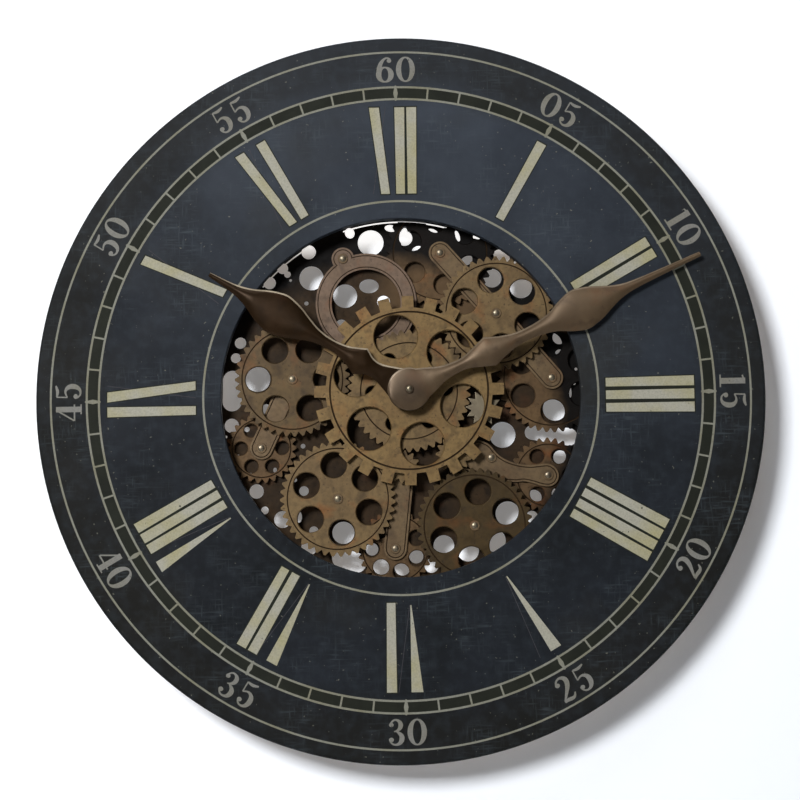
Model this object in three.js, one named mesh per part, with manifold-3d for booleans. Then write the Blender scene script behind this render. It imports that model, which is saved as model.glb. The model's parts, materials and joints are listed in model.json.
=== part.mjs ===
// A round wall clock with an open middle, where a train of thin wheels turns behind the hands.
// Millimetres, +Z up. The wall is the plane y = 0, the clock faces -Y, and the origin is the
// dial's centre on the wall. A depth is a distance from the wall, so its y is negative.

import * as THREE from 'three';
import { mergeVertices } from 'three/addons/utils/BufferGeometryUtils.js';
import Module from 'manifold-3d';

const wasm = await Module();
wasm.setup();

// Dial board
const DIAL_RADIUS = 300;
const OPENING_RADIUS = 148;
const BOARD_THICKNESS = 10;
const BOARD_EDGE_ROUND = 3;

// The wheels' arbor stands a little right of and above the dial's centre, as it does in the photo
const ARBOR_X = 6.9;
const ARBOR_Z = 5.6;

// Wheel train: the module sets the tooth size and the train's layout; teeth stand above and below
// the pitch circle by these shares of it
const MODULE = 2.18;
const ADDENDUM = 0.95;
const DEDENDUM = 1.4;
const TEETH = { drive: 46, side: 43, lowerLeftIdler: 12, lowerRightIdler: 13, pinion: 12 };

// Thicknesses and clearances along the depth
const KNOB_ROOM = 3.5;
const CASE_DEPTH = 16.5;
const PLATE_THICKNESS = 2;
const REAR_WHEEL_GAP = 2.3;
const REAR_WHEEL_THICKNESS = 2.4;
const ARM_THICKNESS = 2;
const SIDE_WHEEL_THICKNESS = 2.5;
const BOARD_GAP = 1;
const CENTRE_WHEEL_THICKNESS = 3;
const HAND_GAP = 2.5;
const HAND_THICKNESS = 2;
const FIT = 0.3;

// Centre wheel with its coarse square teeth
const CENTRE_TEETH = 24;
const CENTRE_TIP_RADIUS = 78.4;
const CENTRE_TOOTH_HEIGHT = 9.6;
const CENTRE_HOLE_RADIUS = 18;
const CENTRE_HOLE_CIRCLE = 45.7;

// Holes in the wheels that stand round it
const SIDE_HOLE_RADIUS = 10.7;
const SIDE_HOLE_CIRCLE = 28;

// Nested arbors and bush, radii
const MINUTE_ARBOR_RADIUS = 1.7;
const HOUR_TUBE_WALL = 0.7;
const BUSH_WALL = 1.3;
const HUB_WALL = 3.2;

// Posts, rivets and spacers
const POST_SHOULDER_RADIUS = 4.6;
const POST_RADIUS = 3;
const POST_TIP_RADIUS = 2.2;
const RIVET_RADIUS = 4.2;
const RIVET_HEIGHT = 1.5;
const RIVET_CLEARANCE = 0.7;
const ARM_END_RADIUS = 9.4;
const ARM_PAD_RADIUS = 17;
const SPACER_RADIUS = 5;
const SPACER_OUTSET = 9.5;
const SPIGOT_RADIUS = 2.5;
const SPIGOT_LENGTH = 5;

// Quartz movement, wheel motor and their cells
const CASE_SIDE = 56;
const CASE_SPACE = 1.6;
const MOTOR_WIDTH = 58;
const MOTOR_HEIGHT = 42;
const MOTOR_SHAFT_MARGIN = 7.3;
const CELL_RADIUS = 7.1;
const CELL_LENGTH = 50.5;
const KNOB_RADIUS = 5.5;
const NUT_RADIUS = 8;
const NUT_HEIGHT = 2.5;

// Hands
const MINUTE_LENGTH = 264;
const HOUR_LENGTH = 190;
const HAND_HUB_RADIUS = 17.6;
const CAP_RADIUS = 3.6;
const HOUR_ANGLE = 301;
const MINUTE_ANGLE = 66;

// Hanger and wall bumpers
const BLOCK_WIDTH = 76;
const BLOCK_HEIGHT = 46;
const HANGER_THICKNESS = 2;
const KEYHOLE_RADIUS = 5.5;
const KEYHOLE_SLOT = 5;
const SCREW_RADIUS = 2;
const SCREW_LENGTH = 16;
const BUMPER_RADIUS = 10;

// Depths, each worked out from the one behind it
const caseBack = KNOB_ROOM;
const plateBack = caseBack + CASE_DEPTH;
const plateFront = plateBack + PLATE_THICKNESS;
const rearBack = plateFront + REAR_WHEEL_GAP;
const rearFront = rearBack + REAR_WHEEL_THICKNESS;
const armBack = rearFront + FIT;
const armFront = armBack + ARM_THICKNESS;
const sideBack = armFront + FIT + RIVET_HEIGHT + RIVET_CLEARANCE;
const sideFront = sideBack + SIDE_WHEEL_THICKNESS;
const boardBack = sideFront + BOARD_GAP;
const boardFront = boardBack + BOARD_THICKNESS;
const centreBack = sideFront + FIT + RIVET_HEIGHT + RIVET_CLEARANCE;
const centreFront = centreBack + CENTRE_WHEEL_THICKNESS;
const hourBack = boardFront + HAND_GAP;
const hourFront = hourBack + HAND_THICKNESS;
const minuteBack = hourFront + HAND_GAP;
const minuteFront = minuteBack + HAND_THICKNESS;

// Radii of the nested pieces round the arbor
const hourTubeBore = MINUTE_ARBOR_RADIUS + FIT;
const hourTubeRadius = hourTubeBore + HOUR_TUBE_WALL;
const bushBore = hourTubeRadius + FIT;
const bushRadius = bushBore + BUSH_WALL;
const hubBore = bushRadius + FIT;
const hubRadius = hubBore + HUB_WALL;

const finishes = {
  slate: { color: 0x2a2e34, roughness: 0.55, metalness: 0 },
  blackSteel: { color: 0x17181b, roughness: 0.5, metalness: 0.6 },
  bronze: { color: 0x6f5b3b, roughness: 0.45, metalness: 0.7 },
  darkBronze: { color: 0x4c3b24, roughness: 0.5, metalness: 0.7 },
  hand: { color: 0x5a4a38, roughness: 0.4, metalness: 0.7 },
  brass: { color: 0x8d8062, roughness: 0.35, metalness: 0.9 },
  steel: { color: 0x9a9a98, roughness: 0.35, metalness: 0.9 },
  blackPlastic: { color: 0x1b1b1c, roughness: 0.6, metalness: 0 },
  cell: { color: 0x38444f, roughness: 0.4, metalness: 0.3 },
  wood: { color: 0xa58a63, roughness: 0.7, metalness: 0 },
  rubber: { color: 0x232323, roughness: 0.85, metalness: 0 },
};

const clock = new THREE.Group();
const train = new THREE.Group();
train.position.set(ARBOR_X, 0, ARBOR_Z);
clock.add(train);

function radians(degrees) {
  return (degrees * Math.PI) / 180;
}

// A place on a circle, with angles counted anticlockwise from +X as seen from the front
function polar(radius, degrees) {
  return [radius * Math.cos(radians(degrees)), radius * Math.sin(radians(degrees))];
}

function offset(a, b) {
  return [a[0] + b[0], a[1] + b[1]];
}

function circle(centre, radius, count, turn = 0) {
  const points = [];
  for (let i = 0; i < count; i += 1) {
    points.push(offset(centre, polar(radius, turn + (360 * i) / count)));
  }
  return points;
}

// A bore round a shaft: the middles of its flats, not its corners, lie at the radius
function bored(centre, radius, count) {
  return circle(centre, radius / Math.cos(Math.PI / count), count);
}

function vectors(points) {
  return points.map(([x, y]) => new THREE.Vector2(x, y));
}

// A flat piece: an outline in x and z with holes, between two depths
function slab(outline, holes, back, front) {
  const shape = new THREE.Shape(vectors(outline));
  shape.holes = holes.map((hole) => new THREE.Path(vectors(hole)));
  const geometry = new THREE.ExtrudeGeometry(shape, { depth: front - back, bevelEnabled: false });
  geometry.rotateX(Math.PI / 2);
  geometry.translate(0, -back, 0);
  return geometry;
}

// A turned piece: a profile of radius and depth, from the back to the front
function turned(profile, segments) {
  const points = profile.map(([radius, depth]) => new THREE.Vector2(radius, -depth));
  return new THREE.LatheGeometry(points, segments);
}

// A turned tube, or a plain rod where the bore is 0
function tube(bore, radius, back, front, segments) {
  const profile = [[bore, back], [radius, back], [radius, front], [bore, front]];
  if (bore > 0) {
    profile.push([bore, back]);
  }
  return turned(profile, segments);
}

function at(geometry, [x, z]) {
  return geometry.translate(x, 0, z);
}

// Shared corners and triangles of a closed geometry, with its faces turned outward
function closed(geometry) {
  const bare = geometry.clone();
  bare.deleteAttribute('normal');
  bare.deleteAttribute('uv');
  const merged = mergeVertices(bare, 1e-4);
  const position = merged.attributes.position.array;
  const corner = (i) => new THREE.Vector3().fromArray(position, 3 * i);
  const triangles = [];
  let volume = 0;
  for (let i = 0; i < merged.index.count; i += 3) {
    const [a, b, c] = [0, 1, 2].map((k) => merged.index.getX(i + k));
    if (a !== b && b !== c && c !== a) {
      triangles.push([a, b, c]);
      volume += corner(a).dot(corner(b).cross(corner(c)));
    }
  }
  const outward = volume > 0 ? triangles : triangles.map(([a, b, c]) => [a, c, b]);
  return { vertProperties: new Float32Array(position), triVerts: new Uint32Array(outward.flat()) };
}

function faceted({ vertProperties, triVerts }) {
  const geometry = new THREE.BufferGeometry();
  geometry.setAttribute('position', new THREE.BufferAttribute(vertProperties, 3));
  geometry.setIndex(new THREE.BufferAttribute(triVerts, 1));
  const flat = geometry.toNonIndexed();
  flat.computeVertexNormals();
  return flat;
}

function solid(geometry) {
  return new wasm.Manifold(new wasm.Mesh({ numProp: 3, ...closed(geometry) }));
}

function joined(base, ...others) {
  return faceted(others.reduce((sum, other) => sum.add(solid(other)), solid(base)).getMesh());
}

function cut(base, ...tools) {
  return faceted(tools.reduce((rest, tool) => rest.subtract(solid(tool)), solid(base)).getMesh());
}

function piece(parent, name, geometry, finish, [x, z] = [0, 0], turn = 0) {
  const mesh = new THREE.Mesh(faceted(closed(geometry)), new THREE.MeshStandardMaterial(finish));
  mesh.name = name;
  mesh.position.set(x, 0, z);
  mesh.rotation.y = -radians(turn);
  parent.add(mesh);
}

// Train layout, from the arbor. Two wheels mesh with the drive wheel and two are reached by idlers.
const spread = (wheelA, wheelB) => ((wheelA + wheelB) * MODULE) / 2;
const modules = ([x, z]) => [x * MODULE, z * MODULE];

const wheels = {
  left: { angle: 173.3, reach: spread(TEETH.drive, TEETH.side), holes: 0 },
  upper_right: { angle: 40.8, reach: spread(TEETH.drive, TEETH.side), holes: 38 },
  lower_left: { angle: 235.7, reach: 49 * MODULE, holes: 36, idler: TEETH.lowerLeftIdler },
  lower_right: { angle: 294.9, reach: 56.75 * MODULE, holes: 23.5, idler: TEETH.lowerRightIdler },
};
const PINION_ANGLE = 346;
const pinionPlace = polar(spread(TEETH.drive, TEETH.pinion), PINION_ANGLE);

// Angle of an idler that touches both the drive wheel and a side wheel
function idlerAngle(wheel) {
  const inner = spread(TEETH.drive, wheel.idler);
  const outer = spread(wheel.idler, TEETH.side);
  const cosine = (inner ** 2 + wheel.reach ** 2 - outer ** 2) / (2 * inner * wheel.reach);
  return wheel.angle + (Math.acos(cosine) * 180) / Math.PI;
}

// Rear wheels under the arm ends: place in modules, teeth, and the holes' radius, circle, number and turn
const rearWheels = {
  top: { place: [12.8, 53], teeth: 41, hole: 8.4, circle: 26.5, holes: 6, turn: 36 },
  right: { place: [54.4, 4.3], teeth: 41, hole: 10, circle: 28, holes: 6, turn: 31 },
  lower_right: { place: [52.2, -32.8], teeth: 28, hole: 6, circle: 18, holes: 6, turn: 59 },
  bottom: { place: [-6.2, -59.6], teeth: 28, hole: 6.6, circle: 19.5, holes: 7, turn: 26 },
  lower_left: { place: [-56.4, -20.7], teeth: 26, hole: 5.6, circle: 17.2, holes: 6, turn: 0 },
};
const RING = { centre: modules([-15.8, 33.9]), outer: 42, inner: 28.7 };
const ringLug = modules([-24.4, 51.3]);
const armPad = modules([30.8, -25.8]);
const ringFoot = offset(RING.centre, polar((RING.outer + RING.inner) / 2, -60));

// Outline of a wheel with pointed teeth, one of them along +X, which meshes with any other of its kind
function gearOutline(teeth) {
  const pitch = (teeth * MODULE) / 2;
  const tips = circle([0, 0], pitch + ADDENDUM * MODULE, teeth);
  const roots = circle([0, 0], pitch - DEDENDUM * MODULE, teeth, 180 / teeth);
  return tips.flatMap((tip, i) => [tip, roots[i]]);
}

// Outline of a wheel with square teeth, each as wide at its root and tip as the shares say
function squareOutline(teeth, tip, root, rootShare, tipShare) {
  const outline = [];
  const step = 360 / teeth;
  for (let tooth = 0; tooth < teeth; tooth += 1) {
    const middle = tooth * step;
    outline.push(polar(root, middle - (step * rootShare) / 2));
    outline.push(polar(tip, middle - (step * tipShare) / 2));
    outline.push(polar(tip, middle + (step * tipShare) / 2));
    outline.push(polar(root, middle + (step * rootShare) / 2));
  }
  return outline;
}

// A wheel's round holes, spaced evenly on a circle
function holeRing(holes, radius, circleRadius, turn, count) {
  const places = circle([0, 0], circleRadius, holes, turn);
  return places.map((place) => circle(place, radius, count));
}

// Angle of a tooth on a wheel that meshes with another whose tooth points along otherTooth
function meshedTooth(otherTeeth, otherTooth, teeth, direction) {
  const lead = ((otherTooth - direction) * otherTeeth) / teeth;
  return direction + 180 - lead + 180 / teeth;
}

// Dial board
function boardProfile() {
  const rounding = [];
  for (let i = 0; i <= 3; i += 1) {
    const [out, forward] = polar(BOARD_EDGE_ROUND, (90 * i) / 3);
    rounding.push([DIAL_RADIUS - BOARD_EDGE_ROUND + out, boardFront - BOARD_EDGE_ROUND + forward]);
  }
  const inner = [[OPENING_RADIUS, boardFront], [OPENING_RADIUS, boardBack]];
  return [[OPENING_RADIUS, boardBack], [DIAL_RADIUS, boardBack], ...rounding, ...inner];
}

// Places of the posts that stand in the back plate, from the arbor
const fromDial = ([x, z]) => [x + ARBOR_X, z + ARBOR_Z];
const placeOf = (wheel) => polar(wheel.reach, wheel.angle);
const idlerPlace = (wheel) => polar(spread(TEETH.drive, wheel.idler), idlerAngle(wheel));
const rearPlaces = Object.values(rearWheels).map((wheel) => modules(wheel.place));
const idled = Object.values(wheels).filter((wheel) => wheel.idler);
const gearPlaces = [...Object.values(wheels).map(placeOf), ...idled.map(idlerPlace)];
const postPlaces = [...rearPlaces, ...gearPlaces, ringLug, ringFoot, armPad, pinionPlace].map(fromDial);

// The plate just covers the opening and reaches past every post
const PLATE_LAP = 2.5;
const POST_MARGIN = 8;
const EAR_HALF_ANGLE = 5;
const EAR_MARGIN = 8;
const furthestPost = Math.max(...postPlaces.map((place) => Math.hypot(...place)));
const plateRadius = Math.max(OPENING_RADIUS + PLATE_LAP, furthestPost + POST_MARGIN);
const spacerCircle = plateRadius + SPACER_OUTSET;
const spacerAngles = [30, 135, 222, 318];
const spacerPlaces = spacerAngles.map((angle) => polar(spacerCircle, angle));

const spigotHole = () => tube(0, SPIGOT_RADIUS + FIT, boardBack - FIT, boardBack + SPIGOT_LENGTH + FIT, 8);
const board = cut(turned(boardProfile(), 64), ...spacerPlaces.map((place) => at(spigotHole(), place)));
piece(clock, 'dial_board', board, finishes.slate);

// Back plate, round with an ear at each spacer
function plateOutline() {
  const outline = [];
  for (let angle = 0; angle < 360; angle += 6) {
    const nearest = Math.min(...spacerAngles.map((ear) => Math.abs(ear - angle)));
    if (nearest > EAR_HALF_ANGLE) {
      outline.push([angle, plateRadius]);
    }
  }
  for (const ear of spacerAngles) {
    outline.push([ear - EAR_HALF_ANGLE, plateRadius]);
    outline.push([ear - EAR_HALF_ANGLE / 2, spacerCircle + EAR_MARGIN]);
    outline.push([ear + EAR_HALF_ANGLE / 2, spacerCircle + EAR_MARGIN]);
    outline.push([ear + EAR_HALF_ANGLE, plateRadius]);
  }
  return outline.sort((a, b) => a[0] - b[0]).map(([angle, radius]) => polar(radius, angle));
}

// Round windows in the plate, through which the wall shows: x and z from the dial's centre, and radius
const plateWindows = [
  [-23, 131.5, 10.8], [-73, 102.5, 10.2], [5.5, 135, 6.5], [56.8, 116.5, 5.2], [102, 92, 9.4], [78, 100, 8],
  [133, 49, 5.6], [128, -10.5, 10], [84, -31.5, 10.8], [110, -30.5, 6], [135, -33, 7.4], [131.5, -51, 5.8],
  [109, -84, 6.4], [107, -100, 5], [87, -97, 10.2], [75.5, -119, 9.4], [53.5, -127, 9], [23, -139, 5.8],
  [33.5, -122.5, 8.6], [-18.5, -138.5, 7], [-1, -140, 6.6], [10.5, -131, 5.8], [-26, -124.5, 5.2],
  [-52, -130, 6.8], [-37.5, -135, 6.2], [-76.5, -120, 5], [-100, -98, 6.8], [-118, -73, 7.8],
  [-49.5, -110.5, 9.2], [-138.5, 19, 7], [-139.5, 1.5, 7], [-139, -20, 6.2], [-119, 18.5, 10.6],
  [-112, -7.5, 5], [-97, 111, 4.6], [-108, 99, 5.2], [-75, 124.5, 6], [-45, 87, 10], [-25, 95, 8.2],
  [-13, 81.5, 5.4], [-48.5, 62.5, 5],
];
const WEB = 1.2;
const arborPlace = fromDial([0, 0]);
const plateBores = [
  ...postPlaces.map((place) => [...place, POST_RADIUS + FIT]),
  ...spacerPlaces.map((place) => [...place, SPIGOT_RADIUS + FIT]),
  [...arborPlace, bushRadius + FIT],
];

// A window is cut where it leaves a web of plate to the rim and to every bore
function leavesWeb([x, z, radius]) {
  const inRim = Math.hypot(x, z) + radius + WEB < plateRadius;
  return inRim && plateBores.every(([u, v, bore]) => Math.hypot(x - u, z - v) > radius + bore + WEB);
}
const windowSides = (radius) => (radius < 8 ? 6 : 8);
const windows = plateWindows.filter(leavesWeb);
const windowHoles = windows.map(([x, z, radius]) => circle([x, z], radius, windowSides(radius)));
const boreHoles = plateBores.map(([x, z, radius]) => bored([x, z], radius, 6));
const plate = slab(plateOutline(), [...windowHoles, ...boreHoles], plateBack, plateFront);
piece(clock, 'back_plate', plate, finishes.blackSteel);

// Spacers that hold the plate off the board, with a spigot in each of them
function spacer() {
  return turned([
    [0, plateBack],
    [SPIGOT_RADIUS, plateBack],
    [SPIGOT_RADIUS, plateFront],
    [SPACER_RADIUS, plateFront],
    [SPACER_RADIUS, boardBack],
    [SPIGOT_RADIUS, boardBack],
    [SPIGOT_RADIUS, boardBack + SPIGOT_LENGTH],
    [0, boardBack + SPIGOT_LENGTH],
  ], 8);
}
const spacerNames = ['right', 'upper_left', 'lower_left', 'lower_right'];
spacerPlaces.forEach((place, i) => {
  piece(clock, `spacer_${spacerNames[i]}`, spacer(), finishes.steel, place);
});

const POST_SIDES = 7;

// A domed rivet head that ends a post's profile
function headProfile(back) {
  return [
    [RIVET_RADIUS, back],
    [RIVET_RADIUS * 0.7, back + RIVET_HEIGHT * 0.7],
    [0, back + RIVET_HEIGHT],
  ];
}

// A post's foot in the back plate and its shoulder on the plate's front
function footProfile(shoulderFront) {
  return [
    [0, plateBack],
    [POST_RADIUS, plateBack],
    [POST_RADIUS, plateFront],
    [POST_SHOULDER_RADIUS, plateFront],
    [POST_SHOULDER_RADIUS, shoulderFront],
  ];
}

// A rivet carries an arm end, and a rear wheel under it where it has one
function rivetPost(shoulderFront) {
  return turned([
    ...footProfile(shoulderFront),
    [POST_RADIUS, shoulderFront],
    [POST_RADIUS, armBack],
    [POST_TIP_RADIUS, armBack],
    [POST_TIP_RADIUS, armFront + FIT],
    ...headProfile(armFront + FIT),
  ], POST_SIDES);
}

// A gear post carries an arm's inner end on its shoulder and a turning wheel on its tip
function gearPost() {
  return turned([
    ...footProfile(armBack),
    [POST_RADIUS, armBack],
    [POST_RADIUS, sideBack - FIT],
    [POST_TIP_RADIUS, sideBack - FIT],
    [POST_TIP_RADIUS, sideFront + FIT],
    ...headProfile(sideFront + FIT),
  ], POST_SIDES);
}

// Rear wheels and their rivets
for (const [name, wheel] of Object.entries(rearWheels)) {
  const bore = bored([0, 0], POST_RADIUS + FIT, 8);
  const holes = [bore, ...holeRing(wheel.holes, wheel.hole, wheel.circle, wheel.turn, 8)];
  const disc = slab(gearOutline(wheel.teeth), holes, rearBack, rearFront);
  const place = modules(wheel.place);
  piece(train, `rear_wheel_${name}`, disc, finishes.darkBronze, place);
  piece(train, `rivet_${name}`, rivetPost(rearBack - FIT), finishes.brass, place);
}
piece(train, 'rivet_ring_lug', rivetPost(armBack), finishes.brass, ringLug);
piece(train, 'rivet_ring_foot', rivetPost(armBack), finishes.brass, ringFoot);
piece(train, 'rivet_arm_pad', rivetPost(armBack), finishes.brass, armPad);

// Arms: flat links with round ends, from rivets to the post of a turning wheel
function stadium(from, to) {
  const heading = (Math.atan2(to[1] - from[1], to[0] - from[0]) * 180) / Math.PI;
  const outline = [];
  for (let i = 0; i <= 6; i += 1) {
    outline.push(offset(to, polar(ARM_END_RADIUS, heading - 90 + (180 * i) / 6)));
  }
  for (let i = 0; i <= 6; i += 1) {
    outline.push(offset(from, polar(ARM_END_RADIUS, heading + 90 + (180 * i) / 6)));
  }
  return outline;
}
const flat = (outline) => slab(outline, [], armBack, armFront);

function drill(place, radius) {
  return slab(bored(place, radius + FIT, 8), [], armBack - FIT, armFront + FIT);
}

function arm(ends, post, pads) {
  const links = ends.map((end) => flat(stadium(end, post)));
  const discs = pads.map((pad) => flat(circle(pad, ARM_PAD_RADIUS, 20)));
  const rivetHoles = [...ends, ...pads].map((place) => drill(place, POST_TIP_RADIUS));
  return cut(joined(...links, ...discs), ...rivetHoles, drill(post, POST_RADIUS));
}
const arms = {
  upper_right: { ends: ['top', 'right'], post: placeOf(wheels.upper_right), pads: [] },
  lower_left: { ends: ['lower_left'], post: placeOf(wheels.left), pads: [] },
  bottom: { ends: ['bottom'], post: idlerPlace(wheels.lower_left), pads: [] },
  lower_right: { ends: ['lower_right'], post: idlerPlace(wheels.lower_right), pads: [armPad] },
};
for (const [name, { ends, post, pads }] of Object.entries(arms)) {
  const endPlaces = ends.map((end) => modules(rearWheels[end].place));
  piece(train, `arm_${name}`, arm(endPlaces, post, pads), finishes.darkBronze);
}

// Ring bracket with a lug, held by two rivets
const ringDiscs = [flat(circle(RING.centre, RING.outer, 32)), flat(circle(ringLug, ARM_END_RADIUS, 16))];
const ringHole = slab(circle(RING.centre, RING.inner, 28), [], armBack - FIT, armFront + FIT);
const ringDrills = [ringLug, ringFoot].map((place) => drill(place, POST_TIP_RADIUS));
piece(train, 'ring_bracket', cut(joined(...ringDiscs), ringHole, ...ringDrills), finishes.darkBronze);

// Turning wheels round the centre, their posts and their idlers
const driveSpin = 3;

function sideWheel(turnOfHoles, tooth) {
  const holes = holeRing(6, SIDE_HOLE_RADIUS, SIDE_HOLE_CIRCLE, turnOfHoles - tooth, 8);
  const bore = bored([0, 0], POST_TIP_RADIUS + FIT, 8);
  return slab(gearOutline(TEETH.side), [bore, ...holes], sideBack, sideFront);
}
function idler(teeth) {
  return slab(gearOutline(teeth), [bored([0, 0], POST_TIP_RADIUS + FIT, 8)], sideBack, sideFront);
}
for (const [name, wheel] of Object.entries(wheels)) {
  let tooth = meshedTooth(TEETH.drive, driveSpin, TEETH.side, wheel.angle);
  if (wheel.idler) {
    const angle = idlerAngle(wheel);
    const spot = idlerPlace(wheel);
    const [x, z] = placeOf(wheel);
    const towards = (Math.atan2(z - spot[1], x - spot[0]) * 180) / Math.PI;
    const idlerTooth = meshedTooth(TEETH.drive, driveSpin, wheel.idler, angle);
    tooth = meshedTooth(wheel.idler, idlerTooth, TEETH.side, towards);
    piece(train, `idler_${name}`, idler(wheel.idler), finishes.bronze, spot, idlerTooth);
    piece(train, `idler_post_${name}`, gearPost(), finishes.brass, spot);
  }
  const turning = sideWheel(wheel.holes, tooth);
  piece(train, `side_wheel_${name}`, turning, finishes.bronze, placeOf(wheel), tooth);
  piece(train, `wheel_post_${name}`, gearPost(), finishes.brass, placeOf(wheel));
}

// Centre wheel and the drive wheel behind it, on one hub
const HUB_FLANGE_WIDTH = 4;
const hubFlange = hubRadius + HUB_FLANGE_WIDTH;
const DRIVE_HOLE_RADIUS = 6;
const DRIVE_HOLE_CIRCLE = 30;
const CENTRE_HOLE_TURN = 43;
const hubHole = bored([0, 0], hubRadius + FIT, 14);
const driveHoles = [hubHole, ...holeRing(6, DRIVE_HOLE_RADIUS, DRIVE_HOLE_CIRCLE, 0, 6)];
const driveWheel = slab(gearOutline(TEETH.drive), driveHoles, sideBack, sideFront);
piece(train, 'drive_wheel', driveWheel, finishes.bronze, [0, 0], driveSpin);

const centreRoot = CENTRE_TIP_RADIUS - CENTRE_TOOTH_HEIGHT;
const ROOT_SHARE = 0.56;
const TIP_SHARE = 0.46;
const centreOutline = squareOutline(CENTRE_TEETH, CENTRE_TIP_RADIUS, centreRoot, ROOT_SHARE, TIP_SHARE);
const centreHoles = [hubHole, ...holeRing(6, CENTRE_HOLE_RADIUS, CENTRE_HOLE_CIRCLE, CENTRE_HOLE_TURN, 12)];
const centreWheel = slab(centreOutline, centreHoles, centreBack, centreFront);
piece(train, 'centre_wheel', centreWheel, finishes.bronze);

const hub = turned([
  [hubBore, sideBack],
  [hubRadius, sideBack],
  [hubRadius, sideFront + FIT],
  [hubFlange, sideFront + FIT],
  [hubFlange, centreBack - FIT],
  [hubRadius, centreBack - FIT],
  [hubRadius, centreFront],
  [hubBore, centreFront],
  [hubBore, sideBack],
], 14);
piece(train, 'centre_hub', hub, finishes.brass);

// Quartz movement behind the plate: a case with a cell and a setting knob
function block(width, height, back, front, [x, z]) {
  return at(new THREE.BoxGeometry(width, front - back, height).translate(0, -(back + front) / 2, 0), [x, z]);
}
const cellSlotWidth = CELL_LENGTH + 2 * FIT;
const cellSlotHeight = 2 * (CELL_RADIUS + FIT);
const cellDepth = caseBack + CELL_RADIUS;

function cellSlot([x, z]) {
  return block(cellSlotWidth, cellSlotHeight, caseBack - FIT, cellDepth + CELL_RADIUS + FIT, [x, z]);
}

// A cell lies along X with its small end cap to the right
function cell() {
  const END_CAP_LENGTH = 1.2;
  const END_CAP_RADIUS = 2.7;
  const body = CELL_LENGTH - END_CAP_LENGTH;
  const jacket = [[0, 0], [CELL_RADIUS, 0], [CELL_RADIUS, body]];
  const endCap = [[END_CAP_RADIUS, body], [END_CAP_RADIUS, CELL_LENGTH], [0, CELL_LENGTH]];
  const profile = [...jacket, ...endCap];
  const geometry = new THREE.LatheGeometry(vectors(profile), 14);
  geometry.rotateZ(-Math.PI / 2);
  return geometry.translate(-CELL_LENGTH / 2, -cellDepth, 0);
}
const CELL_WALL = 3;
const movementCell = [0, cellSlotHeight / 2 + CELL_WALL - CASE_SIDE / 2];
const knobPlace = [0, CASE_SIDE / 4];
const KNOB_STEM_RADIUS = 2;
const KNOB_STEM_LENGTH = 6;
const stemFront = caseBack + KNOB_STEM_LENGTH;
const knobHole = at(tube(0, KNOB_STEM_RADIUS + FIT, caseBack - FIT, stemFront + FIT, 10), knobPlace);
const movement = block(CASE_SIDE, CASE_SIDE, caseBack, plateBack, [0, 0]);
piece(train, 'movement_case', cut(movement, cellSlot(movementCell), knobHole), finishes.blackPlastic);
piece(train, 'movement_cell', cell(), finishes.cell, movementCell);

const knobFront = caseBack - FIT;
const KNOB_BACK = 0.8;
const knob = turned([
  [0, KNOB_BACK],
  [KNOB_RADIUS, KNOB_BACK],
  [KNOB_RADIUS, knobFront],
  [KNOB_STEM_RADIUS, knobFront],
  [KNOB_STEM_RADIUS, stemFront],
  [0, stemFront],
], 14);
piece(train, 'setting_knob', knob, finishes.blackPlastic, knobPlace);

// Fixed bush through the plate, its nut and the collar that the hub runs on
const BUSH_PROUD = 1.5;
const bushFront = centreFront + BUSH_PROUD;
const nutFront = plateFront + NUT_HEIGHT;
const bushHole = bored([0, 0], bushRadius + FIT, 14);
piece(train, 'bush', tube(bushBore, bushRadius, plateBack, bushFront, 14), finishes.brass);
const nut = slab(circle([0, 0], NUT_RADIUS, 6), [bushHole], plateFront, nutFront);
piece(train, 'bush_nut', nut, finishes.brass);
piece(train, 'bush_collar', tube(bushRadius + FIT, hubRadius, nutFront, sideBack - FIT, 14), finishes.brass);

// Wheel motor with its own cell; its pinion turns the drive wheel
const motorX = CASE_SIDE / 2 + CASE_SPACE + MOTOR_WIDTH / 2;
const motorFoot = pinionPlace[1] - MOTOR_SHAFT_MARGIN;
const motorPlace = [motorX, motorFoot + MOTOR_HEIGHT / 2];
const motorCell = [motorX, motorFoot + MOTOR_HEIGHT - cellSlotHeight / 2 - CELL_WALL];
const motorBox = block(MOTOR_WIDTH, MOTOR_HEIGHT, caseBack, plateBack, motorPlace);
piece(train, 'motor_case', cut(motorBox, cellSlot(motorCell)), finishes.blackPlastic);
piece(train, 'motor_cell', cell(), finishes.cell, motorCell);
const pinionTooth = meshedTooth(TEETH.drive, driveSpin, TEETH.pinion, PINION_ANGLE);
const pinionTeeth = slab(gearOutline(TEETH.pinion), [], sideBack, sideFront);
const pinionShaft = tube(0, POST_TIP_RADIUS, plateBack + FIT, sideFront, 8);
piece(train, 'motor_pinion', joined(pinionTeeth, pinionShaft), finishes.brass, pinionPlace, pinionTooth);

// Hands: half widths along the blade, as shares of its length and of its widest half width
const handShape = {
  minute: {
    half: 17.5,
    blade: [[0.076, 0.58], [0.114, 0.37], [0.152, 0.29], [0.19, 0.29], [0.227, 0.46], [0.277, 0.73],
      [0.303, 0.57], [0.341, 0.39], [0.379, 0.29], [0.436, 0.31], [0.492, 0.47], [0.53, 0.74], [0.568, 0.95],
      [0.587, 1], [0.606, 0.96], [0.644, 0.8], [0.682, 0.55], [0.72, 0.34], [0.758, 0.23], [0.83, 0.17],
      [1, 0.11]],
  },
  hour: {
    half: 17.5,
    blade: [[0.105, 0.57], [0.158, 0.4], [0.2, 0.44], [0.243, 0.7], [0.275, 0.54], [0.316, 0.36],
      [0.368, 0.265], [0.421, 0.265], [0.474, 0.37], [0.526, 0.58], [0.579, 0.82], [0.632, 0.97],
      [0.658, 1], [0.684, 0.955],
      [0.737, 0.77], [0.789, 0.5], [0.842, 0.3], [0.895, 0.19], [1, 0.1]],
  },
};

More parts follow.
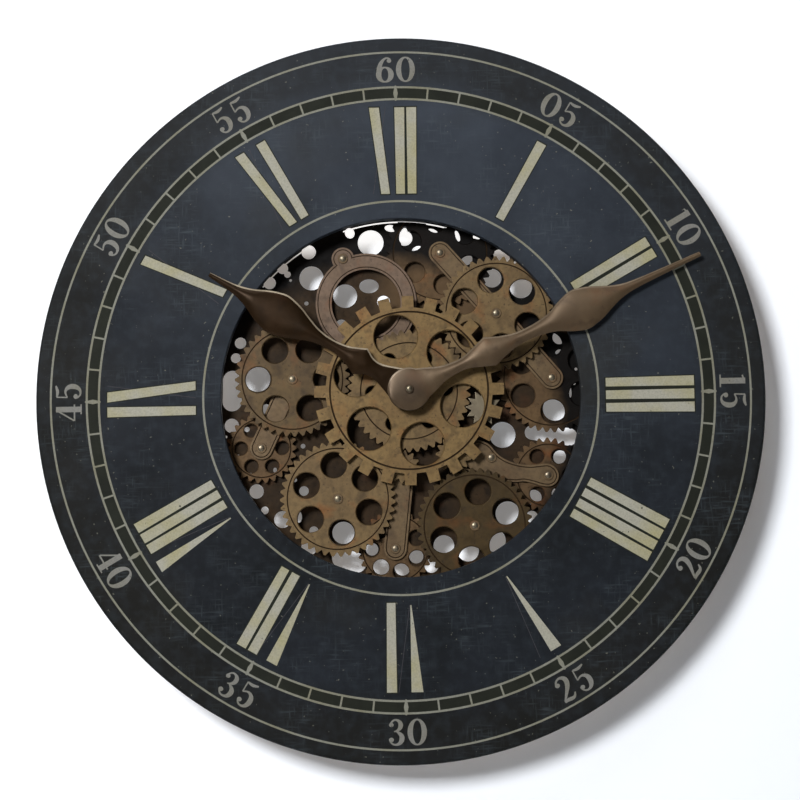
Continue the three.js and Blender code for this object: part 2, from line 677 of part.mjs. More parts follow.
// A hand points along +Z before it is turned to its place
function handOutline({ half, blade }, length) {
  const right = blade.map(([along, width]) => [half * width, length * along]);
  const left = right.map(([x, z]) => [-x, z]).reverse();
  const NECK_ANGLE = 48;
  const hubArc = [];
  for (let i = 0; i <= 14; i += 1) {
    hubArc.push(polar(HAND_HUB_RADIUS, 90 + NECK_ANGLE + ((360 - 2 * NECK_ANGLE) * i) / 14));
  }
  return [...hubArc, ...right, ...left];
}
const HAND_BOSS_WALL = 2.5;

// A hand's flat blade with the boss that grips its arbor, both bored for that arbor
function hand(shape, length, bore, bossBack, back, front) {
  const blade = slab(handOutline(shape, length), [circle([0, 0], bore, 10)], back, front);
  return joined(blade, tube(bore, bore + HAND_BOSS_WALL, bossBack, back + FIT, 10));
}
const hourBoss = hourBack - HAND_GAP;
const minuteBoss = minuteBack - HAND_GAP / 2;
const minuteBore = MINUTE_ARBOR_RADIUS + FIT;
const hourHand = hand(handShape.hour, HOUR_LENGTH, hourTubeRadius + FIT, hourBoss, hourBack, hourFront);
const minuteHand = hand(handShape.minute, MINUTE_LENGTH, minuteBore, minuteBoss, minuteBack, minuteFront);
const arborBack = plateBack + FIT;
const capBack = minuteFront + FIT;
const CAP_HEIGHT = 3;
const arborFront = capBack + CAP_HEIGHT / 2;
piece(train, 'hour_tube', tube(hourTubeBore, hourTubeRadius, arborBack, hourFront, 12), finishes.brass);
piece(train, 'hour_hand', hourHand, finishes.hand, [0, 0], -HOUR_ANGLE);
piece(train, 'minute_arbor', tube(0, MINUTE_ARBOR_RADIUS, arborBack, arborFront, 10), finishes.brass);
piece(train, 'minute_hand', minuteHand, finishes.hand, [0, 0], -MINUTE_ANGLE);

// Cap nut on the end of the minute arbor
const cap = turned([
  [MINUTE_ARBOR_RADIUS + FIT, capBack],
  [CAP_RADIUS, capBack],
  [CAP_RADIUS, capBack + CAP_HEIGHT * 0.5],
  [CAP_RADIUS * 0.75, capBack + CAP_HEIGHT * 0.85],
  [0, capBack + CAP_HEIGHT],
  [0, arborFront + FIT],
  [MINUTE_ARBOR_RADIUS + FIT, arborFront + FIT],
  [MINUTE_ARBOR_RADIUS + FIT, capBack],
], 12);
piece(train, 'cap_nut', cap, finishes.brass);

// Hanger: a wooden block on the board's back with a keyhole plate, and two bumpers below
const hangerHeight = (OPENING_RADIUS + DIAL_RADIUS) / 2;
const hangerPlace = [0, hangerHeight];
const POCKET_WIDTH = 22;
const POCKET_HEIGHT = 30;
const POCKET_DEPTH = 10;
const SCREW_MARGIN = 11;
const HEAD_RADIUS = 4;
const screwX = BLOCK_WIDTH / 2 - SCREW_MARGIN;
const screwPlaces = [[-screwX, hangerHeight], [screwX, hangerHeight]];

// Countersunk wood screw, flush with the wall side of the plate
function screw(slack) {
  return turned([
    [0, -slack],
    [HEAD_RADIUS + slack, -slack],
    [HEAD_RADIUS + slack, 0],
    [SCREW_RADIUS + slack, HANGER_THICKNESS],
    [SCREW_RADIUS + slack, SCREW_LENGTH + slack],
    [0, SCREW_LENGTH + slack],
  ], 10);
}
const screwHoles = () => screwPlaces.map((place) => at(screw(FIT), place));
const hangerBlock = block(BLOCK_WIDTH, BLOCK_HEIGHT, HANGER_THICKNESS, boardBack, hangerPlace);
const pocketBack = HANGER_THICKNESS - FIT;
const pocket = block(POCKET_WIDTH, POCKET_HEIGHT, pocketBack, HANGER_THICKNESS + POCKET_DEPTH, hangerPlace);
piece(clock, 'hanger_block', cut(hangerBlock, pocket, ...screwHoles()), finishes.wood);

// Keyhole: a round entry with a narrower slot rising from it
const ENTRY_DROP = 6;
const SLOT_RISE = 16;
const SHEET_MARGIN = 4;

function keyholeOutline() {
  const half = KEYHOLE_SLOT / 2;
  const entry = hangerHeight - ENTRY_DROP;
  const start = (Math.acos(half / KEYHOLE_RADIUS) * 180) / Math.PI;
  const outline = [];
  for (let i = 0; i <= 14; i += 1) {
    outline.push(offset([0, entry], polar(KEYHOLE_RADIUS, 180 - start + ((180 + 2 * start) * i) / 14)));
  }
  for (let i = 0; i <= 6; i += 1) {
    outline.push(offset([0, entry + SLOT_RISE], polar(half, (180 * i) / 6)));
  }
  return outline;
}
const sheetHeight = BLOCK_HEIGHT - 2 * SHEET_MARGIN;
const hangerSheet = block(BLOCK_WIDTH, sheetHeight, 0, HANGER_THICKNESS, hangerPlace);
const keyhole = slab(keyholeOutline(), [], -FIT, HANGER_THICKNESS + FIT);
piece(clock, 'keyhole_plate', cut(hangerSheet, keyhole, ...screwHoles()), finishes.steel);
piece(clock, 'hanger_screw_left', screw(0), finishes.steel, screwPlaces[0]);
piece(clock, 'hanger_screw_right', screw(0), finishes.steel, screwPlaces[1]);

const bumperAngles = { left: 228, right: 312 };
for (const [side, angle] of Object.entries(bumperAngles)) {
  const bumper = tube(0, BUMPER_RADIUS, 0, boardBack, 20);
  piece(clock, `wall_bumper_${side}`, bumper, finishes.rubber, polar(hangerHeight, angle));
}

export default clock;
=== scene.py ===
import json
import math

import bpy
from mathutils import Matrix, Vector


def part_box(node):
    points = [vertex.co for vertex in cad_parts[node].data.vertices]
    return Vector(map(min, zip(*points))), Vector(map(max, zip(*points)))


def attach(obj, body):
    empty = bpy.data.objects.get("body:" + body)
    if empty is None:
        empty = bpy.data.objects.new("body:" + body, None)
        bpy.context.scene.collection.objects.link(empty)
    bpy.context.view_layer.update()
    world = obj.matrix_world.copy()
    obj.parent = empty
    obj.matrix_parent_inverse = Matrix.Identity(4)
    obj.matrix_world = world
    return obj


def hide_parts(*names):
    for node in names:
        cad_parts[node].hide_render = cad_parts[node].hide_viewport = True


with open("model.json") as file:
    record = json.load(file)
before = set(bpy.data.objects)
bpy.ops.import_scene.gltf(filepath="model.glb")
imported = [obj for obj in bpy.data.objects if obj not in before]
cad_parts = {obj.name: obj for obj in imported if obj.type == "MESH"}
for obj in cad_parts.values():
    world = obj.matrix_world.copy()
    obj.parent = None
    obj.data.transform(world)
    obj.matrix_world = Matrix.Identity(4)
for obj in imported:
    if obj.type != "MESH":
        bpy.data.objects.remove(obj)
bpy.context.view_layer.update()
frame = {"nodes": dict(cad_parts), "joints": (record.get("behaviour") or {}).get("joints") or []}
print("frame loaded:", len(frame["nodes"]), "nodes")


# lengths are written in millimetres, angles in degrees anticlockwise from +X as seen from the front

def mm(*values):
    scaled = [v / 1000 for v in values]
    return scaled[0] if len(scaled) == 1 else tuple(scaled)


def polar(radius, degrees, centre=(0, 0)):
    a = math.radians(degrees)
    return centre[0] + radius * math.cos(a), centre[1] + radius * math.sin(a)


def between(a, b, share):
    return a[0] + (b[0] - a[0]) * share, a[1] + (b[1] - a[1]) * share


def quarterArc(steps):
    # places on a quarter of a circle of radius 1, from its side to its top
    return [polar(1, 90 * i / steps) for i in range(steps + 1)]


past = 1  # cutters reach this far past the faces that they cut
mergeGap = 2e-6  # vertices nearer than this, in metres, are one


# selecting, joining and finishing

def deselect():
    if bpy.context.mode != "OBJECT":
        bpy.ops.object.mode_set(mode="OBJECT")
    bpy.ops.object.select_all(action="DESELECT")


def pick(*objs):
    deselect()
    for o in objs:
        o.select_set(True)
    bpy.context.view_layer.objects.active = objs[0]


def editAll(obj):
    pick(obj)
    bpy.ops.object.mode_set(mode="EDIT")
    bpy.ops.mesh.select_all(action="SELECT")


def settle(obj):
    pick(obj)
    bpy.ops.object.transform_apply(location=True, rotation=True, scale=True)
    return obj


def joinAll(objs):
    pick(*objs)
    if len(objs) > 1:
        bpy.ops.object.join()
    return bpy.context.object


def faceOutward(obj):
    editAll(obj)
    bpy.ops.mesh.remove_doubles(threshold=mergeGap)
    bpy.ops.mesh.normals_make_consistent(inside=False)
    bpy.ops.object.mode_set(mode="OBJECT")


def useModifier(obj, kind, **settings):
    pick(obj)
    bpy.ops.object.modifier_add(type=kind)
    modifier = obj.modifiers[-1]
    for key, value in settings.items():
        setattr(modifier, key, value)
    bpy.ops.object.modifier_apply(modifier=modifier.name)


def soften(obj, width, angle=35, segments=2):
    useModifier(obj, "BEVEL", width=mm(width), segments=segments, limit_method="ANGLE",
                angle_limit=math.radians(angle), use_clamp_overlap=True)


def combine(obj, others, operation):
    other = joinAll(others)
    faceOutward(other)
    useModifier(obj, "BOOLEAN", operation=operation, solver="EXACT", object=other)
    bpy.data.objects.remove(other)
    return obj


def copyOf(obj, shift=(0, 0)):
    pick(obj)
    bpy.ops.object.duplicate(linked=False)
    twin = bpy.context.object
    bpy.ops.transform.translate(value=mm(shift[0], 0, shift[1]))
    return settle(twin)


def dress(obj, materials):
    # replaced in place, so that faces keep the slot they were given
    while len(obj.data.materials) < len(materials):
        obj.data.materials.append(None)
    for i, m in enumerate(materials):
        obj.data.materials[i] = m


def finishPiece(obj, name, body, material, replaced=(), angle=30):
    settle(obj)
    obj.name = name
    obj.data.name = name
    dress(obj, material if isinstance(material, list) else [material])
    pick(obj)
    bpy.ops.object.shade_smooth_by_angle(angle=math.radians(angle))
    useModifier(obj, "WEIGHTED_NORMAL", keep_sharp=True)
    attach(obj, body)
    if replaced:
        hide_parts(*replaced)
    return obj


# forms that several pieces start from

def rod(centre, radius, back, front, sides=40):
    bpy.ops.mesh.primitive_cylinder_add(
        vertices=sides, radius=mm(radius), depth=mm(front - back), rotation=(math.pi / 2, 0, 0),
        location=mm(centre[0], -(back + front) / 2, centre[1]))
    return settle(bpy.context.object)


def slabOf(outline, back, front):
    deselect()
    bpy.ops.mesh.primitive_circle_add(vertices=len(outline), fill_type="NGON")
    obj = bpy.context.object
    for vertex, (x, z) in zip(obj.data.vertices, outline):
        vertex.co = mm(x, -back, z)
    editAll(obj)
    bpy.ops.mesh.extrude_region_move(TRANSFORM_OT_translate={"value": mm(0, back - front, 0)})
    bpy.ops.object.mode_set(mode="OBJECT")
    faceOutward(obj)
    return obj


def spun(profile, centre, steps=40, ring=False):
    # turns a profile of (radius, depth); a ring's profile is closed, any other starts and ends on the axis
    deselect()
    bpy.ops.mesh.primitive_circle_add(vertices=len(profile), fill_type="NOTHING")
    obj = bpy.context.object
    for vertex, (radius, forward) in zip(obj.data.vertices, profile):
        vertex.co = mm(centre[0] + radius, -forward, centre[1])
    if not ring:
        editAll(obj)
        bpy.ops.mesh.select_mode(type="EDGE")
        bpy.ops.mesh.select_all(action="DESELECT")
        bpy.ops.object.mode_set(mode="OBJECT")
        for edge in obj.data.edges:
            edge.select = set(edge.vertices) == {0, len(profile) - 1}
        bpy.ops.object.mode_set(mode="EDIT")
        bpy.ops.mesh.delete(type="EDGE")
        bpy.ops.mesh.select_mode(type="VERT")
    editAll(obj)
    bpy.ops.mesh.spin(steps=steps, angle=2 * math.pi, center=mm(centre[0], 0, centre[1]), axis=(0, 1, 0))
    bpy.ops.object.mode_set(mode="OBJECT")
    faceOutward(obj)
    return obj


def flatRing(outer, inner, back, front, steps=192):
    profile = [(inner, back), (outer, back), (outer, front), (inner, front)]
    return spun(profile, (0, 0), steps, ring=True)


# materials

blend = {"data_type": "RGBA"}
times = {"operation": "MULTIPLY"}


def hexColour(code):
    channels = [int(code[i:i + 2], 16) / 255 for i in (1, 3, 5)]
    linear = [c / 12.92 if c <= 0.04045 else ((c + 0.055) / 1.055) ** 2.4 for c in channels]
    return (*linear, 1)


def addNode(tree, kind, settings=None, out=0, **sockets):
    # adds a node, fills or links its sockets and gives back one of its outputs
    node = tree.nodes.new("ShaderNode" + kind)
    for key, value in (settings or {}).items():
        setattr(node, key, value)
    for key, value in sockets.items():
        socket = node.inputs[int(key[1:])] if key[1:].isdigit() else node.inputs[key.replace("_", " ")]
        if isinstance(value, bpy.types.NodeSocket):
            tree.links.new(value, socket)
        else:
            socket.default_value = hexColour(value) if isinstance(value, str) else value
    return node.outputs[out]


def newMaterial(name, **surface):
    material = bpy.data.materials.new(name)
    material.use_nodes = True
    tree = material.node_tree
    shader = tree.nodes["Principled BSDF"]
    for key, value in surface.items():
        shader.inputs[key.replace("_", " ")].default_value = value
    place = addNode(tree, "TexCoord", out="Object")
    return material, tree, shader, place


def blotches(tree, place, sizeMm, low, high, detail=3, stretch=(1, 1, 1)):
    # a cloudy mask whose patches are about sizeMm wide, pulled apart between two thresholds;
    # the marks of each material further down are these values, from sizeMm on
    mapped = addNode(tree, "Mapping", Vector=place, Scale=stretch)
    cloudy = addNode(tree, "TexNoise", out="Fac", Vector=mapped, Scale=1000 / sizeMm, Detail=detail)
    return addNode(tree, "MapRange", {"clamp": True}, Value=cloudy, From_Min=low, From_Max=high)


# painted MDF, rubbed back by hand: matt slate with the weave of a rag in its scratches; the weave is drawn
# coarser than a real rag's threads, so that it shows; the paint is paler towards the top, a painted sheen for
# light from above, and darker towards the left, a painted shade
slate = {
    "low": ("#131619", "#1b1f25"), "high": ("#2c3139", "#373d46"), "from": -110, "to": 280,
    "brown": "#24221b", "brownShare": 0.6, "scrub": "#3a424a", "scrubShare": 0.16,
    "scratch": "#4a5358", "scratchShare": 0.34, "speck": "#77766b", "speckShare": 0.5,
    "leftShade": "#07080a", "leftShadeFrom": -20, "leftShadeTo": -220, "leftShadeShare": 0.32,
    "rim": "#15140f", "rimFrom": 245, "rimTo": 275, "rimShare": 0.6, "rough": (0.65, 0.52), "weaveDeep": 0.05,
}
slateMarks = {
    "cloud": (70, 0.35, 0.7, 5), "brown": (110, 0.52, 0.75, 4), "scrub": (9, 0.45, 0.72, 6),
    "weft": (1.8, 0.52, 0.72, 2, (0.1, 1, 1)), "warp": (1.8, 0.54, 0.74, 2, (1, 1, 0.12)),
    "patch": (40, 0.48, 0.68, 4), "speck": (2.6, 0.725, 0.76, 2),
}


def slatePaint():
    material, tree, shader, place = newMaterial("paintedSlate", Specular_IOR_Level=0.08)
    cloud = blotches(tree, place, *slateMarks["cloud"])
    across = addNode(tree, "SeparateXYZ", out="X", Vector=place)
    height = addNode(tree, "SeparateXYZ", out="Z", Vector=place)
    # painted sheen: the paint runs from the low colours at the bottom to the paler high colours at the top
    rise = addNode(tree, "MapRange", Value=height, From_Min=mm(slate["from"]), From_Max=mm(slate["to"]))
    low = addNode(tree, "Mix", blend, 2, i0=cloud, i6=slate["low"][0], i7=slate["low"][1])
    high = addNode(tree, "Mix", blend, 2, i0=cloud, i6=slate["high"][0], i7=slate["high"][1])
    ground = addNode(tree, "Mix", blend, 2, i0=rise, i6=low, i7=high)

    stain = blotches(tree, place, *slateMarks["brown"])
    brown = addNode(tree, "Math", times, i0=stain, i1=slate["brownShare"])
    ground = addNode(tree, "Mix", blend, 2, i0=brown, i6=ground, i7=slate["brown"])
    # painted shade: darker towards the left
    leftShade = addNode(tree, "MapRange", Value=across, From_Min=mm(slate["leftShadeFrom"]),
                   From_Max=mm(slate["leftShadeTo"]), To_Max=slate["leftShadeShare"])
    ground = addNode(tree, "Mix", blend, 2, i0=leftShade, i6=ground, i7=slate["leftShade"])
    away = addNode(tree, "VectorMath", {"operation": "LENGTH"}, "Value", i0=place)
    edge = addNode(tree, "MapRange", Value=away, From_Min=mm(slate["rimFrom"]), From_Max=mm(slate["rimTo"]),
                   To_Max=slate["rimShare"])
    ground = addNode(tree, "Mix", blend, 2, i0=edge, i6=ground, i7=slate["rim"])

    rubs = blotches(tree, place, *slateMarks["scrub"])
    scrub = addNode(tree, "Math", times, i0=rubs, i1=slate["scrubShare"])
    ground = addNode(tree, "Mix", blend, 2, i0=scrub, i6=ground, i7=slate["scrub"])
    weft = blotches(tree, place, *slateMarks["weft"])
    warp = blotches(tree, place, *slateMarks["warp"])
    threads = addNode(tree, "Math", {"operation": "MAXIMUM"}, i0=weft, i1=warp)
    weave = addNode(tree, "Math", times, i0=threads, i1=blotches(tree, place, *slateMarks["patch"]))
    scratch = addNode(tree, "Math", times, i0=weave, i1=slate["scratchShare"])
    ground = addNode(tree, "Mix", blend, 2, i0=scratch, i6=ground, i7=slate["scratch"])
    chips = blotches(tree, place, *slateMarks["speck"])
    speck = addNode(tree, "Math", times, i0=chips, i1=slate["speckShare"])
    colour = addNode(tree, "Mix", blend, 2, i0=speck, i6=ground, i7=slate["speck"])
    tree.links.new(colour, shader.inputs["Base Color"])
    matt = addNode(tree, "MapRange", Value=cloud, To_Min=slate["rough"][0], To_Max=slate["rough"][1])
    tree.links.new(matt, shader.inputs["Roughness"])
    bump = addNode(tree, "Bump", Height=weave, Distance=mm(slate["weaveDeep"]))
    tree.links.new(bump, shader.inputs["Normal"])
    return material


# raw MDF: pressed wood fibre, soft brown with fine flecks
fibre = {"ground": ("#75614b", "#887359"), "fleck": "#a28d72", "fleckShare": 0.45, "fleckDeep": 0.04}
fibreMarks = {"cloud": (60, 0.3, 0.7), "fleck": (1.6, 0.35, 0.7, 4)}


def rawBoard():
    material, tree, shader, place = newMaterial("rawFibreboard", Roughness=0.85, Specular_IOR_Level=0.2)
    fleck = blotches(tree, place, *fibreMarks["fleck"])
    cloud = blotches(tree, place, *fibreMarks["cloud"])
    ground = addNode(tree, "Mix", blend, 2, i0=cloud, i6=fibre["ground"][0], i7=fibre["ground"][1])
    share = addNode(tree, "Math", times, i0=fleck, i1=fibre["fleckShare"])
    colour = addNode(tree, "Mix", blend, 2, i0=share, i6=ground, i7=fibre["fleck"])
    tree.links.new(colour, shader.inputs["Base Color"])
    bump = addNode(tree, "Bump", Height=fleck, Distance=mm(fibre["fleckDeep"]))
    tree.links.new(bump, shader.inputs["Normal"])
    return material


# screen-printed ink, aged: chalky cream with yellow stains, worn through to the slate in flecks
inkMarks = {"stain": (26, 0.42, 0.68, 4), "fine": (1.4, 0.4, 0.75), "fineShare": 0.25, "wornMm": 3.4,
            "wornStep": 0.05}


def printedInk(name, pale, stain, worn, wear):
    material, tree, shader, place = newMaterial(name, Roughness=0.62, Specular_IOR_Level=0.15)
    stained = blotches(tree, place, *inkMarks["stain"])
    ground = addNode(tree, "Mix", blend, 2, i0=stained, i6=pale, i7=stain)
    dust = blotches(tree, place, *inkMarks["fine"])
    fine = addNode(tree, "Math", times, i0=dust, i1=inkMarks["fineShare"])
    ground = addNode(tree, "Mix", blend, 2, i0=fine, i6=ground, i7=worn)
    gone = blotches(tree, place, inkMarks["wornMm"], wear, wear + inkMarks["wornStep"], 4)
    colour = addNode(tree, "Mix", blend, 2, i0=gone, i6=ground, i7=worn)
    tree.links.new(colour, shader.inputs["Base Color"])
    return material


# shading by distance from a place, painted light and shade: the rear layers are darkened towards the top and
# right of the opening, a painted shade under the board's edge, and lightened above the centre wheel, a
# painted patch of light; the hands are darker at the hub, a painted shade
openingShade = {"place": mm(-10, -22, -25), "reach": (136, 154), "colour": "#070606", "share": 0.98}
paintedLight = {"place": mm(30, -22, 82), "reach": (62, 34), "colour": "#564430", "share": 0.85}
hubShade = {"place": mm(6.9, -51, 5.6), "reach": (26, 10), "colour": "#2a1f15", "share": 0.7}


# stamped steel with an aged bronze finish: satin brown metal, darker blooms, rust and fine dark pits
bronzeMarks = {
    "lit": (24, 0.35, 0.68, 5), "pits": (2.4, 0.63, 0.7), "dark": (13, 0.55, 0.72, 5),
    "rust": (19, 0.56, 0.74, 5), "grime": (3.2, 0.42, 0.75, 5), "ragged": (14, 0.2, 0.8, 4),
    "uneven": (6, 0.3, 0.7, 4),
}
bronzeForm = {"dark": 0.6, "rust": 0.7, "grime": 0.5, "pits": 0.8, "raggedMm": 9, "smoother": 0.1,
              "rougher": 0.16, "swell": 0.4, "reliefMm": 0.06}


def agedBronze(name, base, lit, dark, rust, metallic=0.45, rough=0.46, shades=(), gloss=0.3, grime=0.75):
    surface = {"Metallic": metallic, "Roughness": rough, "Specular_IOR_Level": gloss}
    material, tree, shader, place = newMaterial(name, **surface)
    paler = blotches(tree, place, *bronzeMarks["lit"])
    colour = addNode(tree, "Mix", blend, 2, i0=paler, i6=base, i7=lit)
    pits = blotches(tree, place, *bronzeMarks["pits"])
    stains = [
        (blotches(tree, place, *bronzeMarks["dark"]), bronzeForm["dark"], dark),
        (blotches(tree, place, *bronzeMarks["rust"]), bronzeForm["rust"], rust),
        (blotches(tree, place, *bronzeMarks["grime"]), bronzeForm["grime"] * grime, dark),
        (pits, bronzeForm["pits"] * grime, dark),
    ]
    for mask, strength, stain in stains:
        share = addNode(tree, "Math", times, i0=mask, i1=strength)
        colour = addNode(tree, "Mix", blend, 2, i0=share, i6=colour, i7=stain)
    # painted light and shade: each one mixes its colour in near its place, with a ragged edge
    for shade in shades:
        away = addNode(tree, "VectorMath", {"operation": "DISTANCE"}, "Value", i0=place, i1=shade["place"])
        edge = blotches(tree, place, *bronzeMarks["ragged"])
        ragged = addNode(tree, "Math", times, i0=edge, i1=mm(bronzeForm["raggedMm"]))
        reach = addNode(tree, "Math", {"operation": "ADD"}, i0=away, i1=ragged)
        near, far = mm(*shade["reach"])
        share = addNode(tree, "MapRange", Value=reach, From_Min=near, From_Max=far, To_Max=shade["share"])
        colour = addNode(tree, "Mix", blend, 2, i0=share, i6=colour, i7=shade["colour"])
    tree.links.new(colour, shader.inputs["Base Color"])
    uneven = blotches(tree, place, *bronzeMarks["uneven"])
    matt = addNode(tree, "MapRange", Value=uneven, To_Min=rough - bronzeForm["smoother"] * grime,
                   To_Max=rough + bronzeForm["rougher"] * grime)
    tree.links.new(matt, shader.inputs["Roughness"])
    swell = addNode(tree, "Math", times, i0=uneven, i1=bronzeForm["swell"] * grime)
    sunk = addNode(tree, "Math", times, i0=pits, i1=grime)
    relief = addNode(tree, "Math", {"operation": "SUBTRACT"}, i0=swell, i1=sunk)
    bump = addNode(tree, "Bump", Height=relief, Distance=mm(bronzeForm["reliefMm"]))
    tree.links.new(bump, shader.inputs["Normal"])
    return material


# plain metals and mouldings: one colour with faint cloudiness and a fine grain in the gloss
plainForm = {"cloud": (18, 0.35, 0.68, 4), "grain": (0.3, 0.7, 3), "smoother": 0.06, "rougher": 0.08}


def plainFinish(name, base, other, rough, metallic=0.0, grainMm=1.2, depthMm=0.02, stretch=(1, 1, 1),
                gloss=0.5):
    surface = {"Metallic": metallic, "Roughness": rough, "Specular_IOR_Level": gloss}
    material, tree, shader, place = newMaterial(name, **surface)
    cloud = blotches(tree, place, *plainForm["cloud"])
    colour = addNode(tree, "Mix", blend, 2, i0=cloud, i6=base, i7=other)
    tree.links.new(colour, shader.inputs["Base Color"])
    grain = blotches(tree, place, grainMm, *plainForm["grain"], stretch)
    uneven = addNode(tree, "MapRange", Value=grain, To_Min=rough - plainForm["smoother"],
                     To_Max=rough + plainForm["rougher"])
    tree.links.new(uneven, shader.inputs["Roughness"])
    bump = addNode(tree, "Bump", Height=grain, Distance=mm(depthMm))
    tree.links.new(bump, shader.inputs["Normal"])
    return material


paints = {
    "slate": slatePaint(),
    "fibre": rawBoard(),
    "cream": printedInk("creamInk", "#969487", "#938e6e", "#2c2c26", 0.705),
    "line": printedInk("lineInk", "#78786e", "#72705f", "#2c2c26", 0.72),
    "figure": printedInk("figureInk", "#73726d", "#6e6c62", "#2a2b2d", 0.70),
    "hair": printedInk("fadedInk", "#38363a", "#322f33", "#292a2d", 0.6),
    "band": plainFinish("oliveStain", "#21231d", "#1c1e19", 0.6, grainMm=2.0, gloss=0.06),
    # the wheels' bronze comes in copies of one finish: the left and lower right side wheels take darker
    # copies, a painted shade, and the centre wheel a paler copy, painted light
    "bronze": agedBronze("agedBronze", "#5d4b31", "#695638", "#291e12", "#704621"),
    "shadedBronze": agedBronze("agedBronzeShaded", "#453621", "#504027", "#21170c", "#5e3b1d"),
    "shadedOliveBronze": agedBronze("agedBronzeOliveShaded", "#362912", "#413218", "#1c140a", "#553414"),
    "centre": agedBronze("agedBronzeLit", "#655031", "#715c39", "#2c2012", "#6f4923"),
    # the rear wheels take the painted shade under the board's edge
    "rear": agedBronze("agedBronzeDark", "#4d3d2c", "#5a4731", "#20170f", "#6a3d1e", shades=[openingShade],
                       gloss=0.12),
    "arm": agedBronze("umberBronze", "#564530", "#625139", "#2b2117", "#634026", 0.4, 0.5),
    "ring": agedBronze("umberBronzeGrey", "#5b4a3b", "#675548", "#2d231b", "#634029", 0.4, 0.5),
    "hand": agedBronze("brownBronze", "#4e3f2e", "#5a4a37", "#36291d", "#573f2a", 0.45, 0.43, [hubShade],
                       grime=0.2),
    # the hour hand takes a darker copy of the hands' bronze, a painted shade for the dark reflection it shows
    "hourHand": agedBronze("brownBronzeShaded", "#24180b", "#2c1e10", "#1b1209", "#2e1d10", 0.5, 0.3,
                           gloss=0.15, grime=0.15),
    # brighter bronzes for the strip along each hand's upper edge: painted highlights
    "hourHighlight": plainFinish("paintedHighlightBronze", "#897c68", "#9b8e79", 0.34, 0.3),
    "handHighlight": plainFinish("paintedHighlightBrown", "#5f5140", "#6d5e4b", 0.36, 0.4),
    "groove": plainFinish("blackPatina", "#241a0f", "#2f2316", 0.75, gloss=0.06),
    # the plate takes the painted shade under the board's edge and a painted patch of light above the centre
    # wheel
    "plate": agedBronze("blackedSteel", "#281f16", "#35281a", "#110d09", "#3b2617", 0.3, 0.55,
                        [paintedLight, openingShade], 0.1),
    "brass": plainFinish("dullBrass", "#6c6253", "#7b725f", 0.38, 0.85),
    "zinc": plainFinish("zincPlate", "#a3a4a2", "#8f9190", 0.38, 0.9, 0.9),
    "plastic": plainFinish("mouldedAbs", "#161617", "#1b1b1c", 0.55, 0.0, 0.5, 0.03),
    "cell": plainFinish("shrinkSleeve", "#2d4150", "#344a5a", 0.33, 0.2, 3.0, 0.01),
    "wood": plainFinish("planedPine", "#b08e62", "#8f6d45", 0.7, 0.0, 2.2, 0.05, (0.05, 1, 1)),
    "rubber": plainFinish("mouldedRubber", "#1c1c1c", "#242424", 0.8, 0.0, 0.8, 0.04),
}
print("materials:", len(paints))

# camera and stage: the view is from a little below, on a white wall lit from the upper left;
# the wall glows faintly behind the clock, most towards the top; wall, floor and lights are placed in metres
shot = {"distance": 1666, "below": 4.5, "roll": -1.0, "lens": 91.3, "sensor": 36, "clip": 50,
        "aim": (-0.7, -45, -2.8)}
wall = {"size": 12, "gap": 0.001, "colour": "#f5f9ff", "glow": (0.17, 0.9), "glowRise": (122, 136),
        "glowFade": (170, 260), "floor": -1.3, "floorColour": "#c4c4c4"}
room = {"colour": (0.93, 0.96, 1.0, 1), "strength": 0.06}
lights = [
    {"name": "keyLight", "place": (-1.2, -2.7, 0.95), "size": 0.75, "power": 104},
    {"name": "topLight", "place": (0.1, -1.5, 2.4), "size": 0.9, "power": 12},
    {"name": "rearLight", "place": (0.7, 2.3, 1.3), "size": 1.8, "power": 54},
]


